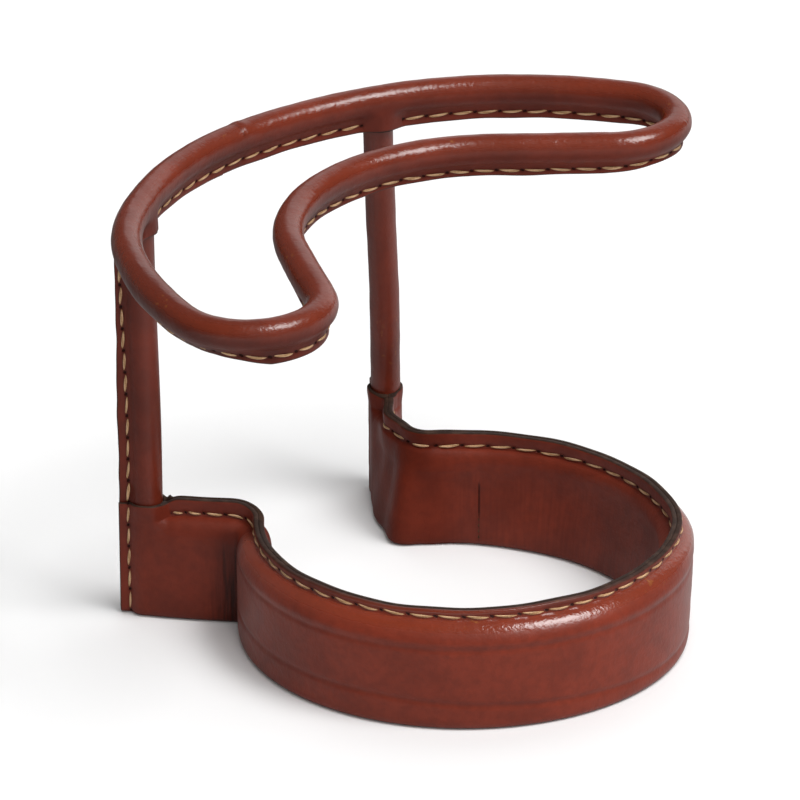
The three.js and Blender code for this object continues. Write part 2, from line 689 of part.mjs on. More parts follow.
// The part's frame has its origin under the middle of the whole, on the floor.
const box = new THREE.Box3().setFromObject(group);
const middle = box.getCenter(new THREE.Vector3());
group.position.set(-middle.x, -middle.y, -box.min.z);

export default group;
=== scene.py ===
"""Dressed model of a stitched-leather carrier for one wine bottle.

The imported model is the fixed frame. Each leather cover and each row of stitches is worked out here as a
surface with numpy, along the same plan lines as the solids, and stands for its node. Sizes are in
millimetres and degrees until a mesh is written, and meshes are in metres.
"""

from __future__ import annotations

import logging
from collections.abc import Callable, Mapping, Sequence
from dataclasses import dataclass, field
from enum import Enum
from functools import partial
from typing import Any

import bpy
import numpy as np
import numpy.typing as npt
from mathutils import Matrix, Vector


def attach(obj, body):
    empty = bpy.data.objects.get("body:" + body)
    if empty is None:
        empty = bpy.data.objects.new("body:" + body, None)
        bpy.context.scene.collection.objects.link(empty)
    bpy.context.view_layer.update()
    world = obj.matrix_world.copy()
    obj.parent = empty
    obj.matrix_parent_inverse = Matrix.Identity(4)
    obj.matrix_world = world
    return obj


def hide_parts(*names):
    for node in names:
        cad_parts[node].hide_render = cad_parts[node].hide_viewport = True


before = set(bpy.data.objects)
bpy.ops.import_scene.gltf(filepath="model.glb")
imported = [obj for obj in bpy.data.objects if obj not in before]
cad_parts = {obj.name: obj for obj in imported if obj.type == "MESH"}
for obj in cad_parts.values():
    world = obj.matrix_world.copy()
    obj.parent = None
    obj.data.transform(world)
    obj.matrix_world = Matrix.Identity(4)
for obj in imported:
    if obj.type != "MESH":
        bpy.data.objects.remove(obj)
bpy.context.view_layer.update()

Array = npt.NDArray[np.float64]
Plan = npt.NDArray[np.complex128]
Half = tuple[Array, Array, dict[str, Array]]  # two coordinates of points, rows by columns, and marks

LOG = logging.getLogger("bottle_carrier")
MM = 0.001
BODY = "root"
RING_CENTRE = 11.208 + 0.627j  # axis of the ring in the part's frame, x + iy
UP = np.array([0.0, 0.0, 1.0])


class Side(Enum):
    """The two faces of a seam, by the left or right of its plan line."""

    INNER = 1
    OUTER = -1


class Hand(Enum):
    """The two posts and ears: left is +Y and right is -Y."""

    LEFT = 1
    RIGHT = -1


# Forms shared by all pieces


def smooth_step(value: Array, low: float, high: float) -> Array:
    """Ease a value from 0 at low to 1 at high, by 3t^2 - 2t^3.

    Args:
        value: Places to ease.
        low: Where the result is 0.
        high: Where the result is 1; it may lie below low.

    Returns:
        The eased share at each place.
    """
    t = np.clip((value - low) / (high - low), 0.0, 1.0)
    return t * t * (3.0 - 2.0 * t)


def bell(value: Array, centre: float, width: float) -> Array:
    """A bell curve exp(-((x - centre) / width)^2)."""
    return np.exp(-(((value - centre) / width) ** 2))


def soft_max(one: Array, other: Array | float, blend: float) -> Array:
    """The larger of two widths with a rounded change-over, (a + b + sqrt((a - b)^2 + k^2)) / 2.

    Args:
        one: First width.
        other: Second width.
        blend: Size k of the rounding.

    Returns:
        The blended width.
    """
    return 0.5 * (one + other + np.sqrt((one - other) ** 2 + blend**2))


def half_chord(radius: float, distance: Array) -> Array:
    """Half the width of a circle at a distance from its middle, and 0 outside it."""
    return np.sqrt(np.maximum(radius**2 - distance**2, 0.0))


def hand_wave(run: Array, length: float, phase: float) -> Array:
    """An uneven wave between -1 and 1, as of hand-cut leather: three sines of unlike lengths.

    Args:
        run: Places along the piece.
        length: Length of the longest of the three waves.
        phase: Start of the wave, so that pieces differ.

    Returns:
        The height of the wave at each place.
    """
    turn = 2.0 * np.pi * run / length
    return (
        0.5 * np.sin(turn + phase)
        + 0.3 * np.sin(2.37 * turn + 1.7 * phase)
        + 0.2 * np.sin(4.11 * turn + 2.9 * phase)
    )


def at_height(plan: Plan, height: Array | float) -> Array:
    """Points in space of plan places x + iy at heights."""
    return np.stack([plan.real, plan.imag, np.broadcast_to(height, plan.shape)], axis=-1)


def steps(*stretches: tuple[float, float, float]) -> Array:
    """Places along a run of stretches, evenly spaced in each.

    Args:
        stretches: Start, end and about the spacing of each stretch.

    Returns:
        The places, those where two stretches meet only once.
    """
    parts = [
        np.linspace(a, b, max(2, int(round(abs(b - a) / gap)) + 1)) for a, b, gap in stretches
    ]
    joined = np.concatenate(parts)
    return joined[np.concatenate([[True], np.abs(np.diff(joined)) > 1e-6])]


@dataclass(frozen=True)
class Bend:
    """A stretch of plan line of one curvature, left turns positive, in millimetres."""

    length: float
    curvature: float = 0.0


class Rail:
    """A plan line of straight and evenly bent stretches, read by its run in millimetres."""

    def __init__(self, start: complex, heading: float, bends: Sequence[Bend]) -> None:
        """Lay the stretches end to end.

        Args:
            start: First place, from the ring's axis.
            heading: First direction in radians.
            bends: The stretches in order.
        """
        lengths = np.array([bend.length for bend in bends])
        self.curvatures = np.array([bend.curvature for bend in bends])
        self.starts = np.concatenate([[0.0], np.cumsum(lengths)[:-1]])
        turns = self.curvatures * lengths
        self.headings = heading + np.concatenate([[0.0], np.cumsum(turns)[:-1]])
        chords = self._chord(lengths, self.headings, self.curvatures)
        self.places = start + np.concatenate([[0.0], np.cumsum(chords)[:-1]])
        self.length = float(lengths.sum())

    @staticmethod
    def _chord(past: Array, heading: Array, curvature: Array) -> Plan:
        """Way from an arc's start: s exp(i(h + ks/2)) sin(ks/2) / (ks/2), also for k = 0."""
        half = 0.5 * curvature * past
        return past * np.exp(1j * (heading + half)) * np.sinc(half / np.pi)

    def at(self, run: Array) -> tuple[Plan, Plan]:
        """Places and left-hand normals at runs.

        Args:
            run: Runs in millimetres.

        Returns:
            Places from the ring's axis and unit normals, both as complex plan numbers.
        """
        index = np.clip(np.searchsorted(self.starts, run, side="right") - 1, 0, None)
        past = run - self.starts[index]
        heading = self.headings[index]
        curvature = self.curvatures[index]
        place = self.places[index] + self._chord(past, heading, curvature)
        return place, 1j * np.exp(1j * (heading + curvature * past))

    def sweep(self, run: Array, across: Array, height: Array) -> Array:
        """Carry an outline along the line: the point is place + across * normal, at height.

        Args:
            run: Runs of the rows.
            across: Left offset of each point, rows by columns.
            height: Height of each point, rows by columns.

        Returns:
            Points, rows by columns by 3, in the part's frame.
        """
        place, normal = self.at(run)
        return at_height(RING_CENTRE + place[:, None] + across * normal[:, None], height)


def both_halves(half: Callable[[Array, Side], Half], rows: Array) -> Half:
    """Work out both halves of an outline and join them into one closed round.

    The halves share their first and last columns, so the second one goes back without them.

    Args:
        half: Function of a piece that works out one half.
        rows: Places of the rows.

    Returns:
        Both joined coordinates and the joined marks.
    """

    def joined(one: Array, other: Array) -> Array:
        """The first half and then the second one backwards."""
        return np.concatenate([one, other[:, -2:0:-1]], axis=1)

    (one_a, one_b, marks), (two_a, two_b, more) = half(rows, Side.INNER), half(rows, Side.OUTER)
    painted = {mark: joined(marks[mark], more[mark]) for mark in marks}
    return joined(one_a, two_a), joined(one_b, two_b), painted


# Mesh writing


@dataclass
class Skin:
    """A grid of points with values painted on it: rows follow the piece, columns go round it."""

    points: Array
    marks: dict[str, Array] = field(default_factory=dict)

    def faces(self) -> tuple[Array, list[Array]]:
        """Corner indices of the quads between rows and of the two end faces, pointing outwards.

        Returns:
            The quads as an n by 4 array, and the two end outlines.
        """
        rows, columns = self.points.shape[:2]
        index = np.arange(rows * columns).reshape(rows, columns)
        ahead = np.roll(index, -1, axis=1)
        quads = np.stack([index[:-1], ahead[:-1], ahead[1:], index[1:]], axis=-1).reshape(-1, 4)
        ends = [index[0, ::-1], index[-1]]
        flat = self.points.reshape(-1, 3) - self.points.mean(axis=(0, 1))
        a, b, c, d = (flat[quads[:, k]] for k in range(4))
        volume = np.einsum("ij,ij->", a, np.cross(b, c)) + np.einsum("ij,ij->", a, np.cross(c, d))
        if volume < 0.0:
            quads = quads[:, ::-1]
            ends = [end[::-1] for end in ends]
        return quads, ends


def write_mesh(name: str, skins: Sequence[Skin], sharp: float = 50.0) -> bpy.types.Object:
    """Write grids as one mesh object at the origin, with their values as attributes.

    Args:
        name: Name of the piece.
        skins: Grids of the piece; all carry the same marks.
        sharp: Angle in degrees past which an edge is drawn sharp.

    Returns:
        The new object, linked to the scene.
    """
    points, corners, sizes, base = [], [], [], 0
    for skin in skins:
        quads, ends = skin.faces()
        points.append(skin.points.reshape(-1, 3))
        corners += [quads.ravel() + base, *(end + base for end in ends)]
        sizes += [np.full(len(quads), 4), np.array([len(end) for end in ends])]
        base += skin.points.shape[0] * skin.points.shape[1]
    places = np.concatenate(points) * MM
    loops = np.concatenate(corners)
    totals = np.concatenate(sizes)
    mesh = bpy.data.meshes.new(name)
    mesh.vertices.add(len(places))
    mesh.vertices.foreach_set("co", places.ravel().astype(np.float32))
    mesh.loops.add(len(loops))
    mesh.loops.foreach_set("vertex_index", loops.astype(np.int32))
    mesh.polygons.add(len(totals))
    starts = np.concatenate([[0], np.cumsum(totals)[:-1]])
    mesh.polygons.foreach_set("loop_start", starts.astype(np.int32))
    mesh.update(calc_edges=True)
    mesh.polygons.foreach_set("use_smooth", np.ones(len(totals), dtype=bool))
    mesh.set_sharp_from_angle(angle=np.radians(sharp))
    for mark in skins[0].marks:
        values = np.concatenate([skin.marks[mark].ravel() for skin in skins])
        layer = mesh.attributes.new(mark, "FLOAT", "POINT")
        layer.data.foreach_set("value", values.astype(np.float32))
    mesh.validate()
    piece = bpy.data.objects.new(name, mesh)
    bpy.context.scene.collection.objects.link(piece)
    return piece


def settle(piece: bpy.types.Object, slot: str, material: bpy.types.Material, *nodes: str) -> None:
    """Dress a finished piece, tie it to the body and let it stand for its nodes.

    Args:
        piece: The finished piece.
        slot: Not used.
        material: Its finish.
        nodes: CAD nodes that it stands for.
    """
    piece.data.materials.append(material)
    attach(piece, BODY)
    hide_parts(*nodes)
    LOG.info("%s: %d faces for %s", piece.name, len(piece.data.polygons), ", ".join(nodes))


# Finishes


def linear(colour: str) -> tuple[float, float, float, float]:
    """Turn an sRGB colour into linear light.

    Args:
        colour: The colour as # and six hex digits.

    Returns:
        Red, green and blue, and full opacity.
    """
    parts = np.array([int(colour[i : i + 2], 16) for i in (1, 3, 5)]) / 255.0
    light = np.where(parts <= 0.04045, parts / 12.92, ((parts + 0.055) / 1.055) ** 2.4)
    return (*light.tolist(), 1.0)


def add_node(
    tree: bpy.types.NodeTree, kind: str, *values: Any, out: int | str = 0, **settings: Any
) -> bpy.types.NodeSocket | None:
    """Add one shader node, with its settings, its values and its links.

    Args:
        tree: Node tree to add to.
        kind: Blender's type name of the node, without its first part.
        values: Values or source sockets of the first inputs, or a mapping of them by name or number.
        out: Name or number of the output to hand on.
        settings: Properties of the node.

    Returns:
        That output, or nothing if the node has none.
    """
    node = tree.nodes.new("ShaderNode" + kind)
    for name, value in settings.items():
        setattr(node, name, value)
    named = values and isinstance(values[0], Mapping)
    for key, value in (values[0] if named else dict(enumerate(values))).items():
        if isinstance(value, bpy.types.NodeSocket):
            tree.links.new(value, node.inputs[key])
        else:
            node.inputs[key].default_value = value
    return node.outputs[out] if node.outputs else None


def new_material(name: str) -> tuple[bpy.types.Material, Callable[..., Any]]:
    """Start a material without nodes.

    Args:
        name: Name of the finish.

    Returns:
        The material and the function that adds a node to it.
    """
    material = bpy.data.materials.new(name)
    material.use_nodes = True
    material.node_tree.nodes.clear()
    return material, partial(add_node, material.node_tree)


def per_metre(size: float) -> float:
    """Scale of a pattern whose features are a size in millimetres, on coordinates in metres."""
    return 1.0 / (size * MM)


@dataclass(frozen=True)
class WaxedCowhide:
    """Vegetable-tanned cowhide, dyed red brown, waxed and polished by hand.

    It gives the eye a deep uneven red brown, darker with painted shade in the necks, folds and creases
    and on some stretches of the loop, brighter and redder over the ridges and tube tops with burnish and
    a painted lit tone, with a soft gloss broken by fine pores, dark painted edges and dark awl holes.
    """

    name: str = "waxed_cowhide"
    body: str = "#893522"
    deep: str = "#561f14"
    # the redder tone over ridges and tube tops: burnish, and a painted lit tone where they face the lamps
    lit_tone: str = "#8e3516"
    scuff: str = "#a5672f"
    paint: str = "#33231c"
    paint_worn: str = "#48342a"
    hole: str = "#240d08"
    gloss: float = 0.45
    bloom: float = 0.09  # haze of dry wax, seen at a slant, less where the colour is deepened
    mottle: float = 16.0  # patches of deeper dye
    fleck: float = 2.2  # small dark flecks
    rub: float = 1.6  # scuffs, in bare places
    bare: float = 13.0
    flake: float = 3.0  # wear of the edge paint
    polish: float = 5.0  # uneven polish
    grain: float = 1.1  # pebbling that breaks the gloss
    pore: float = 0.45  # pores, drawn twice as coarse as real ones so that they show
    crease_step: float = 0.9  # fine cross wrinkles
    pitch: float = 5.8  # about one stitch
    hole_wide: float = 0.42
    hole_tall: float = 0.32

    def material(self) -> bpy.types.Material:
        """Build the material.

        Returns:
            A material that reads the marks edge, burnish (with its painted lit tone), crease, depth,
            wrinkle, row_u, row_v, along and rise.
        """
        material, add = new_material(self.name)
        eased = {"interpolation_type": "SMOOTHSTEP"}
        place = add("TexCoord", out="Object")
        edge, burnish, crease, depth, wrinkle, row_u, row_v, along, rise = (
            add("Attribute", attribute_name=mark, out="Fac")
            for mark in "edge burnish crease depth wrinkle row_u row_v along rise".split()
        )
        path = add("CombineXYZ", along, rise)
        patches, flecks, rubs, bare, flakes, polish, grain, pores, cross = (
            add(
                "TexNoise",
                {"Vector": way, "Scale": per_metre(size), "Detail": fine, "Roughness": 0.55},
            )
            for size, fine, way in (
                (self.mottle, 4.0, place),
                (self.fleck, 3.0, place),
                (self.rub, 4.0, place),
                (self.bare, 2.0, place),
                (self.flake, 4.0, place),
                (self.polish, 3.0, place),
                (self.grain, 2.0, place),
                (self.pore, 1.0, place),
                (self.crease_step, 2.0, path),
            )
        )

        # Awl holes: a slanted oval at each whole number of stitches along the row.
        off_hole = add("Math", row_u, add("Math", row_u, operation="ROUND"), operation="SUBTRACT")
        leant = add("Math", row_v, 0.4, operation="MULTIPLY")
        slant = add("Math", off_hole, self.pitch, leant, operation="MULTIPLY_ADD")
        wide, tall = (
            add("Math", add("Math", way, half, operation="DIVIDE"), 2.0, operation="POWER")
            for way, half in ((slant, self.hole_wide), (row_v, self.hole_tall))
        )
        holes = add("MapRange", add("Math", wide, tall, operation="ADD"), 1.6, 0.3, **eased)
        # darker along each row of stitches: dirt, and painted shade in its channel
        row = add("MapRange", add("Math", row_v, operation="ABSOLUTE"), 0.9, 0.2, **eased)

        # Colour: one layer of dye, painted shade, burnish with a painted lit tone, wear or paint over the
        # other, by its share.
        patched = add("Math", add("MapRange", patches, 0.36, 0.66, **eased), 0.35, operation="MULTIPLY")
        dye_and_shade = add("Math", add("Math", patched, depth, operation="ADD"), 1.0, operation="MINIMUM")
        scuffs = add("MapRange", rubs, 0.58, 0.68, **eased), add("MapRange", bare, 0.6, 0.68, **eased)
        rubbed = add("Math", *scuffs, operation="MULTIPLY")
        worn = add("Math", rubbed, add("MapRange", burnish, 0.1, 0.4, **eased), operation="MULTIPLY")
        # painted shade in the valleys of the folds
        fold_shade = add("Math", add("MapRange", cross, 0.6, 0.35, **eased), wrinkle, operation="MULTIPLY")
        flaked = add("MapRange", flakes, 0.45, 0.7, **eased)
        paints = {0: flaked, 6: linear(self.paint), 7: linear(self.paint_worn)}
        colour = linear(self.body)
        for share, strength, tint in (
            # dye, and painted shade where the depth mark carries it
            (dye_and_shade, 1.0, linear(self.deep)),
            (add("MapRange", flecks, 0.35, 0.7, **eased), 0.25, linear(self.deep)),
            # burnish, with a painted lit tone where ridges and tube tops face the lamps
            (burnish, 0.7, linear(self.lit_tone)),
            # painted shade in the creases and throats; the dart and the lap are dark joints
            (crease, 0.8, linear(self.hole)),
            (worn, 0.6, linear(self.scuff)),
            (fold_shade, 0.6, linear(self.hole)),
            (row, 0.25, linear(self.hole)),
            (edge, 1.0, add("Mix", paints, data_type="RGBA", out=2)),
            (holes, 0.85, linear(self.hole)),
        ):
            amount = share if strength == 1.0 else add("Math", share, strength, operation="MULTIPLY")
            colour = add("Mix", {0: amount, 6: colour, 7: tint}, data_type="RGBA", out=2)

        roughness = self.gloss - 0.08
        for mark, change in ((polish, 0.16), (burnish, -0.32), (edge, 0.18), (holes, 0.4)):
            roughness = add("Math", mark, change, roughness, operation="MULTIPLY_ADD")

        # Height in millimetres: pebbling, pores, cross wrinkles and sunk holes.
        pebbled = add("Math", burnish, 0.03, 0.085, operation="MULTIPLY_ADD")
        height = add("Math", grain, pebbled, operation="MULTIPLY")
        folded = add("Math", cross, wrinkle, operation="MULTIPLY")
        for relief, size in ((pores, 0.036), (folded, 0.22), (holes, -0.35)):
            height = add("Math", relief, size, height, operation="MULTIPLY_ADD")
        haze = add("Math", depth, -0.26, self.bloom, operation="MULTIPLY_ADD")
        shader = {
            "Base Color": colour,
            "Roughness": roughness,
            "Normal": add("Bump", {"Height": height, "Distance": MM, "Strength": 1.0}),
            "IOR": 1.5,
            "Sheen Weight": add("Math", haze, 0.0, operation="MAXIMUM"),
            "Sheen Roughness": 0.5,
            "Specular IOR Level": add("Math", burnish, 1.2, 0.24, operation="MULTIPLY_ADD"),
        }
        add("OutputMaterial", add("BsdfPrincipled", shader))
        return material


@dataclass(frozen=True)
class WaxedLinen:
    """Two-ply linen thread drawn through wax: matt pale fibres that twist along each stitch."""

    name: str = "waxed_linen"
    fibre: str = "#deb68d"
    shade: str = "#9c7043"
    fuzz: float = 0.35  # loose fibres
    ply_depth: float = 0.16

    def material(self) -> bpy.types.Material:
        """Build the material.

        Returns:
            A material that reads the marks lay, the twist across the plies, and tuck, 1 at the holes.
        """
        material, add = new_material(self.name)
        place = add("TexCoord", out="Object")
        lay, tuck = (add("Attribute", attribute_name=mark, out="Fac") for mark in ("lay", "tuck"))
        turn = add("Math", lay, 2.0 * np.pi, operation="MULTIPLY")
        fuzz = add("TexNoise", {"Vector": place, "Scale": per_metre(self.fuzz), "Detail": 3.0})
        twist = add("Math", add("Math", turn, operation="SINE"), 0.3, fuzz, operation="MULTIPLY_ADD")
        shaded = add("MapRange", twist, 0.05, 0.75, 0.85, 0.0)
        tint = {0: add("Math", shaded, tuck, operation="MAXIMUM")}
        tint |= {6: linear(self.fibre), 7: linear(self.shade)}
        bump = {"Height": twist, "Distance": self.ply_depth * MM, "Strength": 0.8}
        shader = {
            "Base Color": add("Mix", tint, data_type="RGBA", out=2),
            "Roughness": 0.72,
            "Normal": add("Bump", bump),
            "Specular IOR Level": 0.3,
        }
        add("OutputMaterial", add("BsdfPrincipled", shader))
        return material


@dataclass(frozen=True)
class MillSteel:
    """Hot-rolled mild steel, bare under the leather: grey metal with blotches of blue-black scale."""

    name: str = "mill_steel"
    bright: str = "#8d9094"
    scale: str = "#4c4d50"
    blotch: float = 6.0

    def material(self) -> bpy.types.Material:
        """Build the material from blotches of mill scale.

        Returns:
            The material.
        """
        material, add = new_material(self.name)
        place = add("TexCoord", out="Object")
        share = add("TexNoise", {"Vector": place, "Scale": per_metre(self.blotch), "Detail": 5.0})
        tint = {0: share, 6: linear(self.bright), 7: linear(self.scale)}
        shader = {
            "Base Color": add("Mix", tint, data_type="RGBA", out=2),
            "Roughness": add("MapRange", {0: share, 3: 0.35, 4: 0.6}),
            "Metallic": 1.0,
        }
        add("OutputMaterial", add("BsdfPrincipled", shader))
        return material


@dataclass(frozen=True)
class Leatherboard:
    """Pressed leather fibre: a dull tan board with short mixed fibres."""

    name: str = "leatherboard"
    pale: str = "#a58a66"
    dark: str = "#7c6446"
    clump: float = 1.5
    relief: float = 0.2

    def material(self) -> bpy.types.Material:
        """Build the material from clumps of fibre.

        Returns:
            The material.
        """
        material, add = new_material(self.name)
        place = add("TexCoord", out="Object")
        share = add("TexNoise", {"Vector": place, "Scale": per_metre(self.clump), "Detail": 6.0})
        tint = {0: share, 6: linear(self.pale), 7: linear(self.dark)}
        shader = {
            "Base Color": add("Mix", tint, data_type="RGBA", out=2),
            "Roughness": 0.9,
            "Normal": add("Bump", {"Height": share, "Distance": self.relief * MM}),
        }
        add("OutputMaterial", add("BsdfPrincipled", shader))
        return material


# Sizes of the whole


@dataclass(frozen=True)
class Leather:
    """Sizes that every cover shares."""

    slit: float = 0.04  # half the line between the two layers of a seam
    sleeve: float = 3.5  # outside of a covered rod
    bore: float = 2.15
    seam: float = 1.55  # half the thickness of a sewn seam
    pocket: float = 3.73  # room round a post sleeve
    pocket_out: float = 4.33
    fin_open: float = 1.7  # half the room for a post fin inside an ear
    fin_face: float = 2.3
    fin_from: float = 3.4  # axis of a sleeve to the flat face of its seam
    fin_crease: float = 3.8  # and to the crease at its root
    edge: float = 0.5  # rounding of a cut and painted edge
    pitch: float = 5.8  # about one stitch
    row_depth: float = 0.24  # the channel that a row of stitches draws in
    stop: float = 5.4  # last hole to the axis of the post that ends a row

    def thread_seat(self) -> float:
        """How deep a stitch lies in its channel."""
        return 0.3 * self.row_depth


LEATHER = Leather()
FIN_REACH = 6.4  # a post's axis to the edge of its fin
FIN_STITCH = 4.7  # and to its stitches
NO_ROW = 9.0  # distance from the stitches, for points on no row
DENT = 0.045  # depth of the hand's dents in soft leather
FOLD_STRETCH = 0.07  # width of a cross wrinkle by its length


def stitch_count(length: float, pitch: float) -> int:
    """Number of stitches in a row of a length."""
    return max(1, round(length / pitch))


def channel(row_u: Array, row_v: Array) -> Array:
    """Depth that stitches draw into the leather: a shallow channel, deeper at each hole.

    Args:
        row_u: Place along the row in stitches, whole numbers at the holes.
        row_v: Distance from the row in millimetres.

    Returns:
        The depth in millimetres.
    """
    off_hole = (row_u - np.round(row_u)) * LEATHER.pitch
    return bell(row_v, 0.0, 0.7) * LEATHER.row_depth * (0.55 + 0.9 * bell(off_hole, 0.0, 0.8))


@dataclass(frozen=True)
class Plans:
    """Plan lines of the ring with its ears and of the loop, from the ring's axis."""

    ring_r: float = 47.0
    neck_r: float = 6.0  # bend from the ring into an ear
    ear_angle: float = 33.85
    back_r: float = 85.5  # the hand bar's arc
    back_x: float = -71.6
    tip_r: float = 15.7  # the loop's rounded tips
    tip_x: float = 6.5
    flank: float = 26.6  # straight between a tip and the bar that the bottle rests on
    rest_x: float = -37.2
    twist: float = 3.7  # turn of the whole loop

    def ear_heading(self, hand: Hand) -> float:
        """Direction of an ear, outwards, in radians."""
        return np.pi - hand.value * np.radians(self.ear_angle)

    def back_centre(self) -> complex:
        """Centre of the hand bar's arc."""
        return (self.back_x + self.back_r) * np.exp(1j * np.radians(self.twist))

    def post_reach(self, hand: Hand) -> float:
        """Distance of a post from the ring's axis: where its ear's line meets the hand bar's circle.

        Args:
            hand: The post.

        Returns:
            The distance in millimetres.
        """
        centre = self.back_centre()
        along = (np.conj(np.exp(1j * self.ear_heading(hand))) * centre).real
        return float(along + np.sqrt(along**2 - abs(centre) ** 2 + self.back_r**2))

    def post_place(self, hand: Hand) -> complex:
        """Axis of a post."""
        return self.post_reach(hand) * np.exp(1j * self.ear_heading(hand))

    def neck(self) -> tuple[float, float]:
        """Angle at the ring's axis that a neck takes up, and the axis's distance to its start."""
        angle = np.arcsin(self.neck_r / (self.ring_r + self.neck_r))
        return angle, (self.ring_r + self.neck_r) * np.cos(angle)

    def band(self) -> Rail:
        """In along the right ear, round the ring, out along the left ear.

        Returns:
            The plan line.
        """
        neck_angle, foot = self.neck()
        neck = Bend(self.neck_r * (np.pi / 2 - neck_angle), -1.0 / self.neck_r)
        around = 2.0 * np.pi - 2.0 * np.radians(self.ear_angle) - 2.0 * neck_angle
        ears = [Bend(self.post_reach(hand) + FIN_REACH - foot) for hand in (Hand.RIGHT, Hand.LEFT)]
        out = np.exp(1j * self.ear_heading(Hand.RIGHT))
        start = (self.post_reach(Hand.RIGHT) + FIN_REACH) * out
        ring = Bend(self.ring_r * around, 1.0 / self.ring_r)
        return Rail(start, float(np.angle(-out)), [ears[0], neck, ring, neck, ears[1]])

    def neck_end(self, hand: Hand) -> float:
        """Run from the end of an ear to where its neck runs into the ring."""
        neck_angle, foot = self.neck()
        return self.post_reach(hand) + FIN_REACH - foot + self.neck_r * (np.pi / 2 - neck_angle)

    def loop(self) -> Rail:
        """From the middle of the hand bar by the right tip, the rest and the left tip back.

        The rest's radius is such that its arc and the tip's are tangent to a flank of the set length.

        Returns:
            The plan line.
        """
        ahead = self.tip_x - self.tip_r
        centre_x = self.back_x + self.back_r
        tip_y = np.sqrt((self.back_r - self.tip_r) ** 2 - (ahead - centre_x) ** 2)
        tip_ahead = ahead - self.rest_x
        power = tip_ahead**2 + tip_y**2 - self.tip_r**2
        rest_r = (power - self.flank**2) / (2.0 * (tip_ahead + self.tip_r))
        to_tip = complex(ahead - self.rest_x - rest_r, tip_y)
        flank_angle = np.angle(to_tip) + np.arccos((rest_r + self.tip_r) / abs(to_tip))
        tip_angle = np.arctan2(tip_y, ahead - centre_x)
        hand_bar = Bend(self.back_r * (np.pi - tip_angle), 1.0 / self.back_r)
        tip = Bend(self.tip_r * (np.pi + tip_angle - flank_angle), 1.0 / self.tip_r)
        rest = Bend(rest_r * (2.0 * np.pi - 2.0 * flank_angle), -1.0 / rest_r)
        flank = Bend(self.flank)
        turn = np.radians(self.twist)
        start = self.back_x * np.exp(1j * turn)
        bends = [hand_bar, tip, flank, rest, flank, tip, hand_bar]
        return Rail(start, turn - np.pi / 2, bends)

    def loop_post(self, hand: Hand) -> float:
        """Run along the hand bar from its middle to a post.

        Args:
            hand: The post.

        Returns:
            The run in millimetres.
        """
        spoke = self.post_place(hand) - self.back_centre()
        swing = np.angle(-spoke * np.exp(-1j * np.radians(self.twist)))
        return float(abs(swing) * self.back_r)


PLANS = Plans()


# Stitches


@dataclass(frozen=True)
class Stitch:
    """Form of one saddle stitch: a plump strand that leans across its row and dives at both ends."""

    wide: float = 0.34  # half sizes of the strand
    thick: float = 0.2
    lean: float = 0.19  # how far each end is off the row
    sag: float = 0.07
    rise: float = 0.1  # of its middle over the leather
    sink: float = 0.25  # of its ends into it
    gap: float = 1.25  # between two stitches
    along: int = 7  # points along and round one
    around: int = 8

    def row(self, holes: Array, middles: Array, out: Array, across: Array, seed: int) -> list[Skin]:
        """Lay stitches from hole to hole.

        With t from 0 to 1 along a stitch, its line is hole + t * step + 4t(1 - t) * (the leather's
        middle less the step's) + lean * (1 - 2t) across, less a sag sin(pi t), and rises by
        sin(pi t)^0.6; the section is an ellipse times sin^0.4.

        Args:
            holes: Holes of the row on the leather, n + 1 by 3.
            middles: Places on the leather halfway between the holes, n by 3.
            out: Way out of the leather at each hole.
            across: Way across the row at each hole.
            seed: Seed of the small differences between stitches.

        Returns:
            One grid for each stitch.
        """
        rng = np.random.default_rng(seed)
        count = len(holes) - 1
        step = holes[1:] - holes[:-1]
        size = np.linalg.norm(step, axis=1, keepdims=True)
        ends = step / size * (self.gap / 2.0)
        first, span = holes[:-1] + ends, step - 2.0 * ends
        way_out = 0.5 * (out[1:] + out[:-1])
        way_across = 0.5 * (across[1:] + across[:-1])
        t = np.linspace(0.0, 1.0, self.along)[None, :]
        turn = np.linspace(0.0, 2.0 * np.pi, self.around, endpoint=False)
        arch = np.sin(np.pi * np.clip(t, 0.03, 0.97))
        lean = self.lean * rng.uniform(0.6, 1.4, (count, 1))
        side = lean * (1.0 - 2.0 * t) - self.sag * rng.uniform(0.4, 1.5, (count, 1)) * arch
        lift = -self.sink + (self.rise + self.sink) * arch**0.6 * rng.uniform(0.85, 1.1, (count, 1))
        bulge = middles - 0.5 * (holes[1:] + holes[:-1])
        middle = (
            first[:, None, :]
            + t[..., None] * span[:, None, :]
            + (4.0 * t * (1.0 - t))[..., None] * bulge[:, None, :]
            + side[..., None] * way_across[:, None, :]
            + lift[..., None] * way_out[:, None, :]
        )
        body = arch**0.4 * rng.uniform(0.88, 1.1, (count, 1))
        ring_across = (self.wide * body)[..., None] * np.cos(turn)
        ring_out = (self.thick * body)[..., None] * np.sin(turn)
        points = (
            middle[:, :, None, :]
            + ring_across[..., None] * way_across[:, None, None, :]
            + ring_out[..., None] * way_out[:, None, None, :]
        )
        lay = np.broadcast_to(
            turn[None, None, :] / np.pi + 0.9 * t[..., None] + rng.uniform(0, 1, (count, 1, 1)),
            points.shape[:3],
        )
        tuck = np.broadcast_to(smooth_step(arch, 0.4, 0.05)[..., None], points.shape[:3])
        return [Skin(points[k], {"lay": lay[k], "tuck": tuck[k]}) for k in range(count)]


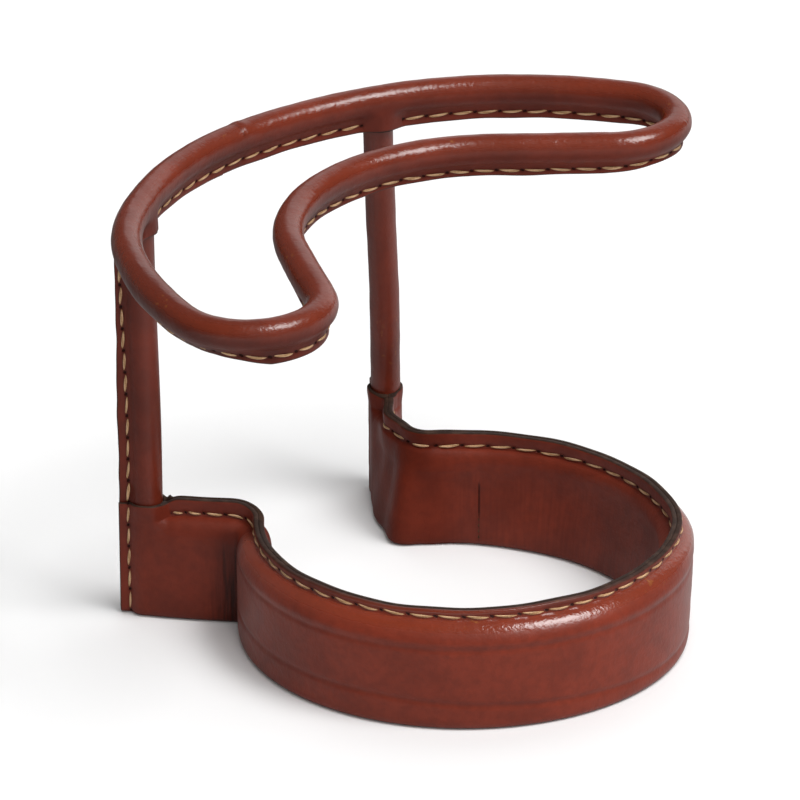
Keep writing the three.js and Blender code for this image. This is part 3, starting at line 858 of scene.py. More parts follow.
@dataclass(frozen=True)
class ThreadRow:
    """A row on one face of a seam, ready for its stitches: its holes and the middles between them."""

    node: str
    points: Array  # holes and middles in turn
    out: Array  # way out of the leather at each of them
    across: Array  # way across the row

    def build(self, stitch: Stitch, material: bpy.types.Material, slot: str, seed: int) -> None:
        """Sew the row and let it stand for its node.

        Args:
            stitch: Form of a stitch.
            material: Finish of the thread.
            slot: Name of a material slot, handed on to settle.
            seed: Seed of the differences between stitches.
        """
        holes, middles = self.points[::2], self.points[1::2]
        skins = stitch.row(holes, middles, self.out[::2], self.across[::2], seed)
        settle(write_mesh("stitches_" + self.node, skins, 70.0), slot, material, self.node)


def with_middles(places: Array) -> Array:
    """Evenly spaced places with the middles between them put in."""
    return np.linspace(places[0], places[-1], 2 * len(places) - 1)


def rail_row(
    node: str,
    rail: Rail,
    runs: Array,
    side: Side,
    depth: Array | float,
    height: Array | float,
    sway: Array | float = 0.0,
) -> ThreadRow:
    """A row along a plan line, at an offset to its side and at a height.

    Args:
        node: CAD node of the thread.
        rail: Plan line.
        runs: Runs of the holes and of the middles between them.
        side: Face that the row lies on.
        depth: Offset of the face from the line.
        height: Height of the row.
        sway: Further offset to the left of the line.

    Returns:
        The row.
    """
    place, normal = rail.at(np.mod(runs, rail.length))
    points = at_height(RING_CENTRE + place + (side.value * depth + sway) * normal, height)
    out = at_height(side.value * normal, 0.0)
    return ThreadRow(node, points, out, np.broadcast_to(UP, out.shape))


# Pieces


@dataclass
class RingCover:
    """Cover of the ring and its ears: folded at the floor, its edges sewn into a standing seam."""

    top: float = 28.0
    seam: float = 1.2  # half the thickness of the standing seam, drawn tight
    pitch: float = 6.2
    extra: float = 1.2  # stitches more on the right ear than at that pitch
    extra_run: float = 8.0  # run over which they get longer
    stitch_z: float = 24.8
    root: float = 0.75  # from the row down to where the seam leaves the shoulder
    face_top: float = 18.8  # on the ears; the ring's faces go up further
    ring_tops: Mapping[Side, float] = field(
        default_factory=lambda: {Side.INNER: 20.2, Side.OUTER: 21.2}
    )
    foot: float = 1.8
    halves: Mapping[Side, float] = field(default_factory=lambda: {Side.INNER: 5.5, Side.OUTER: 5.1})
    core: float = 4.1  # half the room inside
    bar: float = 2.2  # half the room that the flat bar keeps
    hollow: tuple[float, ...] = (1.4, 1.4, 2.6, 17.6, 20.6, 21.6)  # heights of the room's corners
    creases: tuple[tuple[float, float, float], ...] = (  # height, depth and fall in a degree
        (5.8, 0.3, 0.045),
        (19.8, 0.24, 0.0),
    )
    crease_width: float = 0.75
    crease_dark: float = 0.1  # share of painted shade in the deepest one
    lean: float = 1.0  # the outside draws in towards the floor, on its right
    sag: float = 0.4  # the ring's seam stands lower than the ears'
    draw: float = 2.5  # the inside draws out towards the seam
    upright: float = 2.3  # but stands upright beside the left ear, its foot set back
    ear_lift: float = 1.25  # the right ear's seam stands up
    wave: float = 0.26  # unevenness of the cut edge
    dart_angle: float = 126.9
    dart_top: float = 16.0
    neck_run: float = 8.75  # along a neck, and back to its middle
    neck_middle: float = 4.4
    rail: Rail = field(default_factory=PLANS.band)

    def runs(self) -> Array:
        """Rows along the band, closer at the ends, the sockets, the necks and the dart.

        Returns:
            Runs of the rows.
        """
        right, left = (PLANS.neck_end(hand) for hand in (Hand.RIGHT, Hand.LEFT))
        length, dart = self.rail.length, self.dart_run()
        edge, socket, neck, fold = 0.6, 12.6, self.neck_run, 1.2
        breaks = [0.0, edge, socket, right - neck, right, dart - fold, dart + fold]
        breaks += [length - left, length - left + neck, length - socket, length - edge, length]
        spacings = (0.1, 0.35, 0.5, 0.35, 0.75, 0.1, 0.75, 0.35, 0.5, 0.35, 0.1)
        return steps(*zip(breaks, breaks[1:], spacings))

    def dart_run(self) -> float:
        """Run of the sewn dart on the inside of the ring.

        Returns:
            The run in millimetres.
        """
        start = np.angle(self.rail.at(np.array([PLANS.neck_end(Hand.RIGHT)]))[0][0])
        swing = np.mod(np.radians(self.dart_angle) - start, 2.0 * np.pi)
        return PLANS.neck_end(Hand.RIGHT) + float(swing) * PLANS.ring_r

    def row_place(self, run: Array) -> Array:
        """Place along the standing seam in stitches, from 0; they start short on the right ear.

        With x from the first hole, the place is k * x + extra * (1 - exp(-x / extra_run)), with k such
        that the last hole is a whole number.

        Args:
            run: Runs.

        Returns:
            The place of each run, a whole number at the holes.
        """
        start = FIN_REACH + LEATHER.stop
        length = self.rail.length - 2.0 * start
        each = (stitch_count(length, self.pitch) + 1 - self.extra) / length
        fading = np.exp(-np.maximum(run - start, 0.0) / self.extra_run)
        return each * (run - start) + self.extra * (1.0 - fading)

    def row_runs(self) -> Array:
        """Runs of the holes of the standing seam and of the middles between them.

        Returns:
            The runs, holes and middles in turn.
        """
        start = FIN_REACH + LEATHER.stop
        run = np.linspace(start, self.rail.length - start, 2400)
        place = self.row_place(run)
        return np.interp(np.arange(2 * round(place[-1]) + 1) / 2.0, place, run)

    def angle(self, run: Array) -> Array:
        """Direction from the ring's axis in degrees."""
        return np.degrees(np.angle(self.rail.at(run)[0]))

    def past_post(self, run: Array) -> Array:
        """Distance outwards from the nearer post's axis."""
        return FIN_REACH - np.minimum(run, self.rail.length - run)

    def from_neck(self, run: Array) -> Array:
        """Distance from the middle of the nearer neck, towards the ring."""
        right, left = (PLANS.neck_end(hand) - self.neck_middle for hand in (Hand.RIGHT, Hand.LEFT))
        return np.minimum(run - right, self.rail.length - run - left)

    def ring_share(self, run: Array) -> Array:
        """1 on the ring and 0 on ears and necks.

        Args:
            run: Runs.

        Returns:
            The share at each run.
        """
        right, left = (PLANS.neck_end(hand) for hand in (Hand.RIGHT, Hand.LEFT))
        end = self.rail.length - run
        return smooth_step(run, right - 2.0, right + 9.0) * smooth_step(end, left - 2.0, left + 9.0)

    def right_side(self, run: Array) -> Array:
        """1 on the side of the ring away from the mouth, at its left front, and 0 elsewhere."""
        return bell(self.angle(run), 41.6, 18.0) * self.ring_share(run)

    def seam_half(self, run: Array) -> Array:
        """Half the seam's thickness: it opens as a circle round each post and closes on its fin.

        Args:
            run: Runs.

        Returns:
            The half thickness at each run.
        """
        past = self.past_post(run)
        easing = LEATHER.pocket_out * smooth_step(past, -7.0, -1.5)
        ring = np.where(past < 0.0, easing, half_chord(LEATHER.pocket_out, past))
        closed = np.where(past > 0.0, LEATHER.fin_face, self.seam)
        return soft_max(ring, closed, 0.45)

    def bow(self, run: Array, height: Array) -> Array:
        """Offset to the left of the line.

        The left ear is bent towards the mouth, most at its seam. The ring's seam leans in at the front
        and spreads on the right.

        Args:
            run: Runs.
            height: Heights of the points at these runs.

        Returns:
            The offset of each point.
        """
        end = self.rail.length - run
        bent = (1.1 + 1.2 * smooth_step(height, 17.0, 25.0)) * bell(end, FIN_REACH + 14.0, 5.5)
        spread = 1.2 * self.right_side(run) * smooth_step(height, 21.0, 24.5)
        front = 0.5 * bell(self.angle(run), -50.0, 50.0) * self.ring_share(run)
        leant = front * smooth_step(height, 24.5, 28.0)
        return bent + leant - spread - 0.5 * smooth_step(end, FIN_REACH + 7.0, FIN_REACH)

    def ear_rise(self, run: Array) -> Array:
        """How far the right ear's seam stands up, in millimetres."""
        past = run - FIN_REACH
        return self.ear_lift * smooth_step(past, 0.5, 8.0) * smooth_step(past, 30.0, 19.0)

    def row_height(self, run: Array, side: Side) -> Array:
        """Height of the row of stitches: the awl went in higher on the outside of the ring."""
        rise = 1.4 if side is Side.OUTER else -0.2
        return self.stitch_z + rise * self.ring_share(run) + 0.9 * self.ear_rise(run)

    def crest(self, run: Array, side: Side) -> Array:
        """Height of the seam's upper edge: hand cut, with lips round the posts and a turned-up corner.

        Args:
            run: Runs.
            side: Face of the seam.

        Returns:
            The height at each run.
        """
        past = self.past_post(run)
        free = smooth_step(past, -4.0, -12.0)
        wave = self.wave * hand_wave(run, 61.0, 0.8) * free - self.sag * self.ring_share(run)
        notch = -0.5 * bell(past, -4.6, 1.3)
        lip = 0.35 * bell(past, 0.0, 2.6)
        corner = 0.9 * bell(run, FIN_REACH + 5.0, 0.5) if side is Side.INNER else 0.0
        return self.top + wave + notch + lip + corner + self.ear_rise(run)

    def lean_in(self, run: Array, height: Array) -> Array:
        """How far the outer wall draws in, run by height: most at the floor, on the ring's right."""
        return self.lean * self.right_side(run)[:, None] * np.clip(1.0 - height / 21.0, 0.0, 1.0)

    def inner_draw(self, run: Array) -> Array:
        """How far the inner wall leans out at the seam, fading out at the posts."""
        return self.draw * smooth_step(self.past_post(run), -3.0, -14.0)

    def set_back(self, run: Array, height: Array) -> Array:
        """How far the inner wall is set back: most at its foot, beside the left ear.

        Args:
            run: Runs.
            height: Heights of the points.

        Returns:
            The distance, run by height.
        """
        left = bell(self.angle(run), 140.0, 20.0)
        foot = self.upright * left * smooth_step(self.from_neck(run), -3.0, 3.0)
        return foot[:, None] * np.clip(1.0 - height / 19.0, 0.0, 1.0)

    def wall(self, run: Array, side: Side) -> Half:
        """Smooth outline of one half, from the middle of its hollow over the seam to the floor.

        The wall is a foot of a quarter circle, a face, a shoulder whose half width is
        seam + (band - seam) * (1 - s^p)^(1/p) with s from 0 to 1 up the shoulder, and the seam.

        Args:
            run: Runs of the rows.
            side: Face of the seam.

        Returns:
            Offsets and heights of the points, rows by columns, and the mark shown, 1 on the outside.
        """
        past = self.past_post(run)[:, None]
        share = self.ring_share(run)[:, None]
        end = np.minimum(run, self.rail.length - run)[:, None]
        seam = self.seam_half(run)[:, None]
        slit = np.where(past > 0.0, LEATHER.fin_open, LEATHER.slit)
        seam_in = soft_max(half_chord(LEATHER.pocket, past), slit, 0.05)
        ear = np.clip(-past / (PLANS.neck_end(Hand.RIGHT) - FIN_REACH), 0.0, 1.0)
        half = self.halves[side]
        band = np.where(past > 0.0, seam, LEATHER.pocket_out + (half - LEATHER.pocket_out) * ear)
        band_in = np.where(past > 0.0, seam_in, LEATHER.pocket + (self.core - LEATHER.pocket) * ear)
        to_end = 1.0 - np.clip(end / LEATHER.edge, 0.0, 1.0)
        round_off = 0.5 * LEATHER.edge * (1.0 - np.sqrt(1.0 - to_end**2))
        seam, band = seam - round_off, band - round_off
        crest = self.crest(run, side)[:, None]
        one = np.ones_like(past)
        draw = self.inner_draw(run)[:, None] if side is Side.INNER else 0.0 * one

        # Hollow side, tight round the rod below the socket
        band_in = band_in - 0.9 * bell(past, 0.0, 4.5)
        drawn_in = band_in - 0.85 * draw
        top_in = np.where(past > -6.0, drawn_in, np.maximum(drawn_in, self.bar))
        inner_n = [0.0 * one, band_in - 1.2, band_in, top_in, 0.6 * top_in + 0.4 * seam_in, seam_in]
        inner_z = [height * one for height in self.hollow]
        # Edge of the seam, from the slit over the top to the face
        turn = np.linspace(np.pi / 2, 0.0, 5)[None, :]
        edge_r = np.minimum(LEATHER.edge, 0.45 * (seam - seam_in))
        edge_n = [seam_in, seam_in, seam_in + 0.1, seam - edge_r + edge_r * np.cos(turn)]
        edge_z = [crest - 2.6, crest - 0.05, crest, crest - edge_r + edge_r * np.sin(turn)]
        # Face of the seam
        up = np.linspace(1.0, 0.0, 11)[None, 1:]
        root = self.row_height(run, side)[:, None] - self.root
        seam_z = root + (crest - edge_r - root) * up
        seam_n = seam + 0.0 * seam_z
        # Shoulder, with a small fillet at the foot of the seam
        s = np.linspace(1.0, 0.0, 16)[None, 1:]
        power = 2.1 - (0.65 * share if side is Side.OUTER else 0.0)
        face_top = self.face_top + (self.ring_tops[side] - self.face_top) * share
        shoulder_z = face_top + (root - face_top) * s
        bulge = (1.0 - s**power) ** (1.0 / power)
        fillet = 0.35 * bell(s, 1.0, 0.12)
        shoulder_n = seam + (band - draw - seam) * np.maximum(bulge, 0.25 * fillet)
        # Face and foot
        middle = 17.5
        above = middle + (face_top - middle) * np.linspace(1.0, 0.0, 19)[None, 1:]
        below = steps((middle, 9.0, 1.0), (9.0, 3.0, 0.3), (3.0, self.foot, 0.6))[None, 1:]
        face_z = np.concatenate([above, one * below], axis=1)
        face_n = band - draw * smooth_step(face_z, 0.0, face_top)
        heel = np.linspace(0.0, np.pi / 2, 6)[None, 1:]
        foot_n = band - self.foot * (1.0 - np.cos(heel))
        foot_z = one * self.foot * (1.0 - np.sin(heel))
        floor_n, floor_z = [0.5 * (band - self.foot), 0.0 * one], [0.0 * one, 0.0 * one]

        n = np.concatenate([*inner_n, *edge_n, seam_n, shoulder_n, face_n, foot_n, *floor_n], axis=1)
        z = np.concatenate([*inner_z, *edge_z, seam_z, shoulder_z, face_z, foot_z, *floor_z], axis=1)
        hidden = len(inner_n) + 2  # the hollow and the slit
        return n, z, {"shown": (np.arange(n.shape[1]) >= hidden)[None, :] * one}

    def stitch_marks(self, run: Array, side: Side, z: Array, shown: Array) -> tuple[Array, Array]:
        """Place of points in the row along the seam, or in the one up the fin at the end of an ear.

        Args:
            run: Runs of the rows.
            side: Face of the seam.
            z: Heights of the points.
            shown: 1 for each point on the outside.

        Returns:
            The place along the row in stitches and the distance from the row.
        """
        past = self.past_post(run)[:, None]
        on_fin = past > -LEATHER.stop + 0.2
        fin_u, fin_v = fin_row(z, past + 0.0 * z)
        row_u = np.where(on_fin, fin_u, self.row_place(run)[:, None] + 0.0 * z)
        row_v = np.where(on_fin, fin_v, z - self.row_height(run, side)[:, None])
        return row_u, np.where(shown > 0.0, row_v, NO_ROW)

    def press(self, run: Array, side: Side, n: Array, z: Array, shown: Array) -> tuple[Array, Array]:
        """Press the wall: creases outside, the dart inside, dents, and leather drawn in.

        Args:
            run: Runs of the rows.
            side: Face of the seam.
            n: Offsets of the points.
            z: Heights of the points.
            shown: 1 for each point on the outside.

        Returns:
            The new offsets, and the darkness: painted shade in the creases outside, the dart inside.
        """
        past = self.past_post(run)[:, None]
        share = self.ring_share(run)[:, None]
        root = self.row_height(run, side)[:, None] - self.root
        crease = np.zeros_like(z)
        if side is Side.OUTER:
            low = smooth_step(z, 0.0, 1.5)
            angle = self.angle(run)[:, None]
            for height, depth, fall in self.creases:
                line = height - fall * np.clip(angle + 37.0, -35.0, 50.0)
                crease = crease + bell(z, line, self.crease_width) * depth * share * low
            left_ear = bell(self.rail.length - run[:, None], FIN_REACH + 8.0, 5.5)
            drawn = 1.5 * left_ear * smooth_step(z, 6.0, 16.0) * smooth_step(n, 1.5, 3.5)
            n = n - shown * crease - (self.lean_in(run, z) + drawn) * smooth_step(n, 0.5, 2.0)
            crease = crease * (self.crease_dark / max(depth for _, depth, _ in self.creases))
        else:
            at_dart = np.abs(run[:, None] - self.dart_run())
            dart = bell(at_dart, 0.0, 0.24) * smooth_step(z, self.dart_top, self.dart_top - 0.8)
            crease = dart * shown * (0.35 + 0.65 * smooth_step(z, 7.0, 9.0)) * smooth_step(z, 0.0, 0.8)
            n = n - 0.3 * crease
            n = np.where(n > self.bar, np.maximum(n - self.set_back(run, z), self.bar), n)
            corner = bell(self.from_neck(run)[:, None], -1.0, 2.2)
            n = n + shown * 1.7 * corner * smooth_step(z, 23.5, 14.0)
        body = smooth_step(z, 0.0, 4.0) * smooth_step(z, root, root - 3.0)
        n = n + shown * body * DENT * hand_wave(run[:, None] + 2.0 * z, 23.0, side.value + 2.0)
        tight = 0.35 * bell(past, 0.0, 4.0) * smooth_step(z, 27.5, 24.0)
        return n - shown * tight * smooth_step(n, 2.4, 3.6), crease

    def half_outline(self, run: Array, side: Side) -> Half:
        """One half of the cover's outline, pressed and marked for its finish.

        Args:
            run: Runs of the rows.
            side: Face of the seam.

        Returns:
            Offsets and heights of the points, rows by columns, and their marks.
        """
        n, z, found = self.wall(run, side)
        shown = found["shown"]
        row_u, row_v = self.stitch_marks(run, side, z, shown)
        n, crease = self.press(run, side, n - shown * channel(row_u, row_v), z, shown)

        past = self.past_post(run)[:, None]
        share = self.ring_share(run)[:, None]
        neck = self.from_neck(run)[:, None]
        crest = self.crest(run, side)[:, None]
        root = self.row_height(run, side)[:, None] - self.root
        near_edge = smooth_step(z, crest - 0.32, crest - 0.1)
        fin_edge = smooth_step(past, FIN_REACH - 0.35, FIN_REACH - 0.1)
        # burnish on the shoulder below the row, where it faces the lamps: gloss, and a painted lit tone
        burnish = bell(z, root - 1.0, 1.2) * (0.2 + 0.7 * share) * smooth_step(-past, 1.0, 5.0)
        dye_and_shade = 0.25 * (1.0 - share) + 0.0 * z
        if side is Side.OUTER:  # the paint of the edge is rubbed off at the front
            rubbed = bell(self.angle(run)[:, None], -50.0, 38.0) * share * smooth_step(n, 0.25, 0.5)
            near_edge = near_edge * (1.0 - 0.9 * rubbed)
            burnish = burnish + 0.6 * rubbed * smooth_step(z, crest - 0.9, crest - 0.3)
            # painted shade in the hollow of the neck
            dye_and_shade = dye_and_shade + 0.8 * bell(neck, -3.5, 4.0) * smooth_step(z, 25.0, 21.0)
            # darker on the seam above the row
            dye_and_shade = dye_and_shade + 0.55 * share * smooth_step(z, root + 1.0, root + 1.8)
            # wrinkles at the neck, with painted shade in their valleys
            bent = 1.4 * bell(neck, -3.0, 5.5)
        else:
            burnish = 0.15 * burnish - 0.1 * (1.0 - share)
            dye_and_shade = dye_and_shade + 0.2
            bent = 0.22 * share
        marks = {
            "edge": np.where(shown > 0.0, np.maximum(near_edge, fin_edge), 1.0),
            "burnish": burnish * shown,
            "depth": dye_and_shade,
            "crease": crease,
            "wrinkle": bent * smooth_step(z, 21.5, 17.0) * shown,
            "row_u": row_u,
            "row_v": row_v,
            "along": run[:, None] * MM + 0.0 * z,
            "rise": FOLD_STRETCH * z * MM,
        }
        return side.value * n + self.bow(run[:, None], z), z, marks

    def build(self, material: bpy.types.Material) -> None:
        """Make the cover and let it stand for its node.

        Args:
            material: Finish of the leather.
        """
        run = self.runs()
        across, height, marks = both_halves(self.half_outline, run)
        skin = Skin(self.rail.sweep(run, across, height), marks)
        settle(write_mesh("ring_cover", [skin]), "leather", material, "base_cover")

    def build_liners(self, material: bpy.types.Material) -> None:
        """Make the two strips of board, tapered to the lean of the walls over them.

        Args:
            material: Finish of the board.
        """
        inset, low, tall, back = 9.5, 1.8, 18.4, 2.05  # start before the neck, foot, height, back face
        right, left = PLANS.neck_end(Hand.RIGHT) - inset, PLANS.neck_end(Hand.LEFT)
        up = np.linspace(0.0, tall, 6)
        for side in Side:
            past = inset if side is Side.INNER else 0.0
            run = np.linspace(right, self.rail.length - left + past, 240)
            z = low + np.concatenate([up, up[::-1]])[None, :] + 0.0 * run[:, None]
            if side is Side.INNER:
                lean = self.inner_draw(run)[:, None] * smooth_step(z, 0.0, self.ring_tops[side])
                lean = lean + self.set_back(run, z)
            else:
                lean = self.lean_in(run, z)
            wall = self.core - 0.15 - lean - 1.0 * smooth_step(z, 18.5, 20.5)
            n = np.where(np.arange(2 * len(up)) >= len(up), back, np.maximum(wall, back + 0.1))
            name = "liner_" + side.name.lower()
            points = self.rail.sweep(run, side.value * n, z)
            settle(write_mesh(name, [Skin(points)]), "liner", material, "base_" + name)

    def rows(self) -> list[ThreadRow]:
        """Rows of stitches on both faces of the standing seam.

        Returns:
            The inner row and the outer row.
        """
        runs = self.row_runs()
        depth = self.seam_half(runs) - LEATHER.thread_seat()
        found = []
        for side in Side:
            height = self.row_height(runs, side)
            node = f"base_thread_{side.name.lower()}"
            found.append(rail_row(node, self.rail, runs, side, depth, height, self.bow(runs, height)))
        return found

    def dart_row(self) -> ThreadRow:
        """Small dark stitches down the dart.

        Returns:
            The row.
        """
        run = np.array([self.dart_run()])
        place, normal = self.rail.at(run)
        heights = with_middles(np.linspace(1.8, self.dart_top - 1.0, 10))
        lean = self.draw * smooth_step(heights, 0.0, self.ring_tops[Side.INNER])
        drawn_in = 0.15 + 0.35 * smooth_step(heights, 7.0, 9.0) + self.set_back(run, heights)[0]
        wall = self.halves[Side.INNER] - lean - drawn_in
        points = at_height(RING_CENTRE + place + wall * normal, heights)
        out = np.broadcast_to(at_height(normal, 0.0), points.shape)
        return ThreadRow("dart_thread", points, out, np.cross(out, UP))


def fin_drift(height: Array) -> Array:
    """Distance of a post's stitch row from its axis: the row runs a little out of true."""
    return FIN_STITCH - 0.7 + 0.004 * height + 0.12 * np.sin(height / 11.0)


FIN_LOW = 0.9  # lowest and highest hole
FIN_HIGH = 93.0
FIN_COUNT = stitch_count(FIN_HIGH - FIN_LOW, 5.3)
FIN_PITCH = (FIN_HIGH - FIN_LOW) / FIN_COUNT


def fin_row(height: Array, outwards: Array) -> tuple[Array, Array]:
    """Place of points in the stitch row of a post's fin.

    Args:
        height: Heights.
        outwards: Distances from the post's axis.

    Returns:
        The place along the row in stitches and the distance from the row.
    """
    row_v = outwards - fin_drift(height)
    beyond = np.maximum(np.maximum(FIN_LOW - 0.8 - height, height - FIN_HIGH - 0.8), 0.0)
    return (height - FIN_LOW) / FIN_PITCH, np.where(beyond > 0.0, NO_ROW, row_v)


@dataclass(frozen=True)
class SleeveOutline:
    """Half of a sleeve's outline: a bored tube with its seam as a fin along -w, w = 0 on the axis."""

    reach: float
    throat: float  # rounding where tube and fin meet
    bore_end: float = -1.45  # angle at which the bore runs into the slit, in radians
    slit_at: tuple[float, float] = (-3.9, -4.2)  # two places down the slit

    def columns(self) -> tuple[Array, Array, Array, int]:
        """Points of the half outline from the top of the bore to the top of the tube.

        Returns:
            Offsets, places along the fin's way, the share of each column that moves with the fin's
            edge, and the number of columns that lie inside.
        """
        bore = np.linspace(np.pi / 2, self.bore_end, 6)
        inner_x = np.concatenate([LEATHER.bore * np.cos(bore), [LEATHER.slit, LEATHER.slit]])
        inner_w = np.concatenate([LEATHER.bore * np.sin(bore), self.slit_at])
        r = LEATHER.edge
        turn = np.linspace(-np.pi / 2, 0.0, 5)
        edge_x = np.concatenate(
            [[LEATHER.slit, LEATHER.slit + 0.12], LEATHER.seam - r + r * np.cos(turn)]
        )
        edge_w = np.concatenate(
            [[-self.reach + 0.12, -self.reach], -self.reach + r + r * np.sin(turn)]
        )
        seat = np.sqrt((LEATHER.sleeve + self.throat) ** 2 - (LEATHER.seam + self.throat) ** 2)
        fin_w = np.linspace(-self.reach + r, -seat, 9)[1:]
        fin_x = np.full_like(fin_w, LEATHER.seam)
        meet = np.arctan2(LEATHER.seam + self.throat, seat)  # angle off the fin at the throat's end
        bend = np.linspace(np.pi, np.pi / 2 + meet, 5)[1:]
        throat_x = LEATHER.seam + self.throat + self.throat * np.cos(bend)
        throat_w = -seat + self.throat * np.sin(bend)
        round_ = np.linspace(-np.pi / 2 + meet, np.pi / 2, 27)[1:]
        x = np.concatenate([inner_x, edge_x, fin_x, throat_x, LEATHER.sleeve * np.cos(round_)])
        w = np.concatenate([inner_w, edge_w, fin_w, throat_w, LEATHER.sleeve * np.sin(round_)])
        with_edge = np.clip((-w - LEATHER.sleeve) / (self.reach - LEATHER.sleeve), 0.0, 1.0)
        with_edge[: len(inner_x)] = 0.0
        return x, w, with_edge, len(inner_x)


@dataclass
class LoopSleeve:
    """Cover of the loop: a sleeve with its seam hanging below, opened as a collar round each post."""

    height: float = 101.5
    reach: float = 6.1
    pitch: float = 5.9
    joint: float = 0.02  # gap between the two ends of the cover
    lap: float = 7.5  # from the joint back to the raised lap
    throat: float = 2.0  # rounding between tube and seam
    collar: float = 3.78  # outside of the collar round a post
    pocket: float = 3.6
    shifts: tuple[float, float] = (0.2, 0.8)  # collars past the posts' axes, as the posts lean
    wave: float = 0.22  # unevenness of the cut edge
    sway: float = 0.2  # and of its lean
    tuck: float = 1.0  # the seam of the right flank is tucked in
    cut: tuple[tuple[float, float], ...] = (  # runs, and how much deeper than its reach the seam is
        (30.0, 0.7),
        (45.0, 0.3),
        (56.0, -0.7),
        (98.0, -0.7),
        (108.0, -1.4),
        (114.0, -1.3),
        (120.0, -0.5),
        (126.0, 0.7),
        (145.0, 0.9),
        (165.0, 0.0),
        (285.0, 0.0),
        (296.0, -0.8),
        (308.0, -0.8),
        (322.0, 0.0),
        (340.0, 0.7),
    )
    bows: tuple[tuple[float, float, float], ...] = (  # run, how far out, and width
        (56.0, -0.9, 16.0),
        (149.0, -0.5, 9.0),
        (308.0, -0.4, 12.0),
    )
    bar_bow: tuple[float, float, float] = (408.0, 1.2, 28.0)  # the same on the hand bar
    rail: Rail = field(default_factory=PLANS.loop)

    def posts(self) -> tuple[float, float]:
        """Runs of the right and the left post."""
        right, left = (PLANS.loop_post(hand) for hand in (Hand.RIGHT, Hand.LEFT))
        return right + self.shifts[0], self.rail.length - left + self.shifts[1]

    def runs(self) -> Array:
        """Rows along the loop, closer at the posts and at the lap.

        Returns:
            Runs of the rows.
        """
        right, left = self.posts()
        length, gap, near = self.rail.length, self.joint / 2.0, 6.5
        breaks = [gap, right - near, right + near, left - near, left + near]
        breaks += [length - 11.0, length - 4.5, length - gap]
        return steps(*zip(breaks, breaks[1:], (0.62, 0.3, 0.62, 0.3, 0.62, 0.2, 0.62)))

    def row_runs(self, front: bool) -> Array:
        """Runs of the holes of the front stretch, or of the stretch on the hand bar.

        Args:
            front: Whether it is the front stretch.

        Returns:
            The runs; those on the hand bar go on past the joint.
        """
        right, left = self.posts()
        if front:
            start, stop = right + LEATHER.stop, left - LEATHER.stop
        else:
            start, stop = left + LEATHER.stop, self.rail.length + right - LEATHER.stop
        return np.linspace(start, stop, stitch_count(stop - start, self.pitch) + 1)

    def from_post(self, run: Array) -> Array:
        """Distance along the loop from the nearer post."""
        right, left = self.posts()
        return np.minimum(np.abs(run - right), np.abs(run - left))

    def opening(self, run: Array) -> Array:
        """How far the seam stands open: 0 in a closed seam, 1 at a post's axis."""
        return smooth_step(self.from_post(run), 6.6, 0.6)

    def fin_depth(self, run: Array) -> Array:
        """How much deeper than its reach the seam was left when it was cut, along the loop."""
        return np.interp(run, *zip(*self.cut)) + self.wave * hand_wave(run, 53.0, 1.1)

    def row_drop(self, run: Array) -> Array:
        """How far the row of stitches hangs below the axis: it follows the cut edge."""
        depth = self.fin_depth(run)
        return FIN_STITCH + np.where(depth < 0.0, 0.9, 0.35) * depth

    def drift(self, run: Array) -> Array:
        """Offset of the sleeve from its line: it bows out in places, and in on the hand bar.

        Args:
            run: Runs.

        Returns:
            The offset to the left at each run.
        """
        half = 0.5 * self.rail.length
        middle, inwards, wide = self.bar_bow
        from_bar = np.mod(run - middle + half, self.rail.length) - half
        outer = sum(far * bell(run, place, width) for place, far, width in self.bows)
        return outer + inwards * bell(from_bar, 0.0, wide)

    def fin_sway(self, run: Array) -> Array:
        """Sideways lean of the fin's edge.

        Args:
            run: Runs.

        Returns:
            The offset of the edge at each run.
        """
        right, _ = self.posts()
        tucked = self.tuck * smooth_step(run, right, right + 12.0) * smooth_step(run, 124.0, 108.0)
        return (self.sway * hand_wave(run, 140.0, 2.2) + tucked) * (1.0 - self.opening(run))

    def half_outline(self, run: Array, side: Side) -> Half:
        """One half of the sleeve's outline, with the collar blended in near the posts.

        Args:
            run: Runs of the rows.
            side: Face of the seam.

        Returns:
            Offsets and heights of the points, rows by columns, and their marks.
        """
        x0, w0, with_edge, hollow = SleeveOutline(self.reach, self.throat).columns()
        away = self.from_post(run)[:, None]
        open_ = self.opening(run)[:, None]
        shown = (np.arange(len(x0)) >= hollow)[None, :] & (away >= 0.0)
        x, w = x0 + 0.0 * away, w0 + 0.0 * away

        # Collar: below the axis the half width eases from the tube's to the collar's.
        down = smooth_step(-w, 0.0, self.reach)
        collar = LEATHER.sleeve + (self.collar - LEATHER.sleeve) * down
        pocket = soft_max(half_chord(self.pocket, away), LEATHER.slit, 0.05)
        below = shown & (w < 0.0)
        turned = np.arange(len(x0))[None, :] - hollow
        edge_in = (turned == 0) | (turned == 1)
        wide = np.where(edge_in, x - LEATHER.slit + pocket, x + open_ * (collar - x))
        rounded = np.where((turned >= 2) & (turned < 7), LEATHER.seam - x, 0.0)
        wide = np.where(edge_in, wide, wide - open_ * rounded)
        x = np.where(below, wide, x)
        x = np.where((turned == -1) & (open_ > 0.0), pocket, x)

        w = w - self.fin_depth(run)[:, None] * with_edge
        tube = shown & (w > -3.3)
        end = np.minimum(run, self.rail.length - run)[:, None]
        dent = DENT * hand_wave(run[:, None] + 1.3 * w, 19.0, 0.4 + side.value)
        at_lap = self.rail.length - self.lap
        lap = 0.2 * bell(run[:, None], at_lap, 1.4) * smooth_step(w, 0.0, 2.5)
        swell = 0.3 * (bell(run, 90.0, 14.0) + bell(run, 163.0, 16.0))[:, None]
        bumps = dent * smooth_step(end, 0.0, 6.0) + lap + swell
        scale = np.where(tube, 1.0 + bumps / LEATHER.sleeve, 1.0)
        x, w = x * scale, w * scale

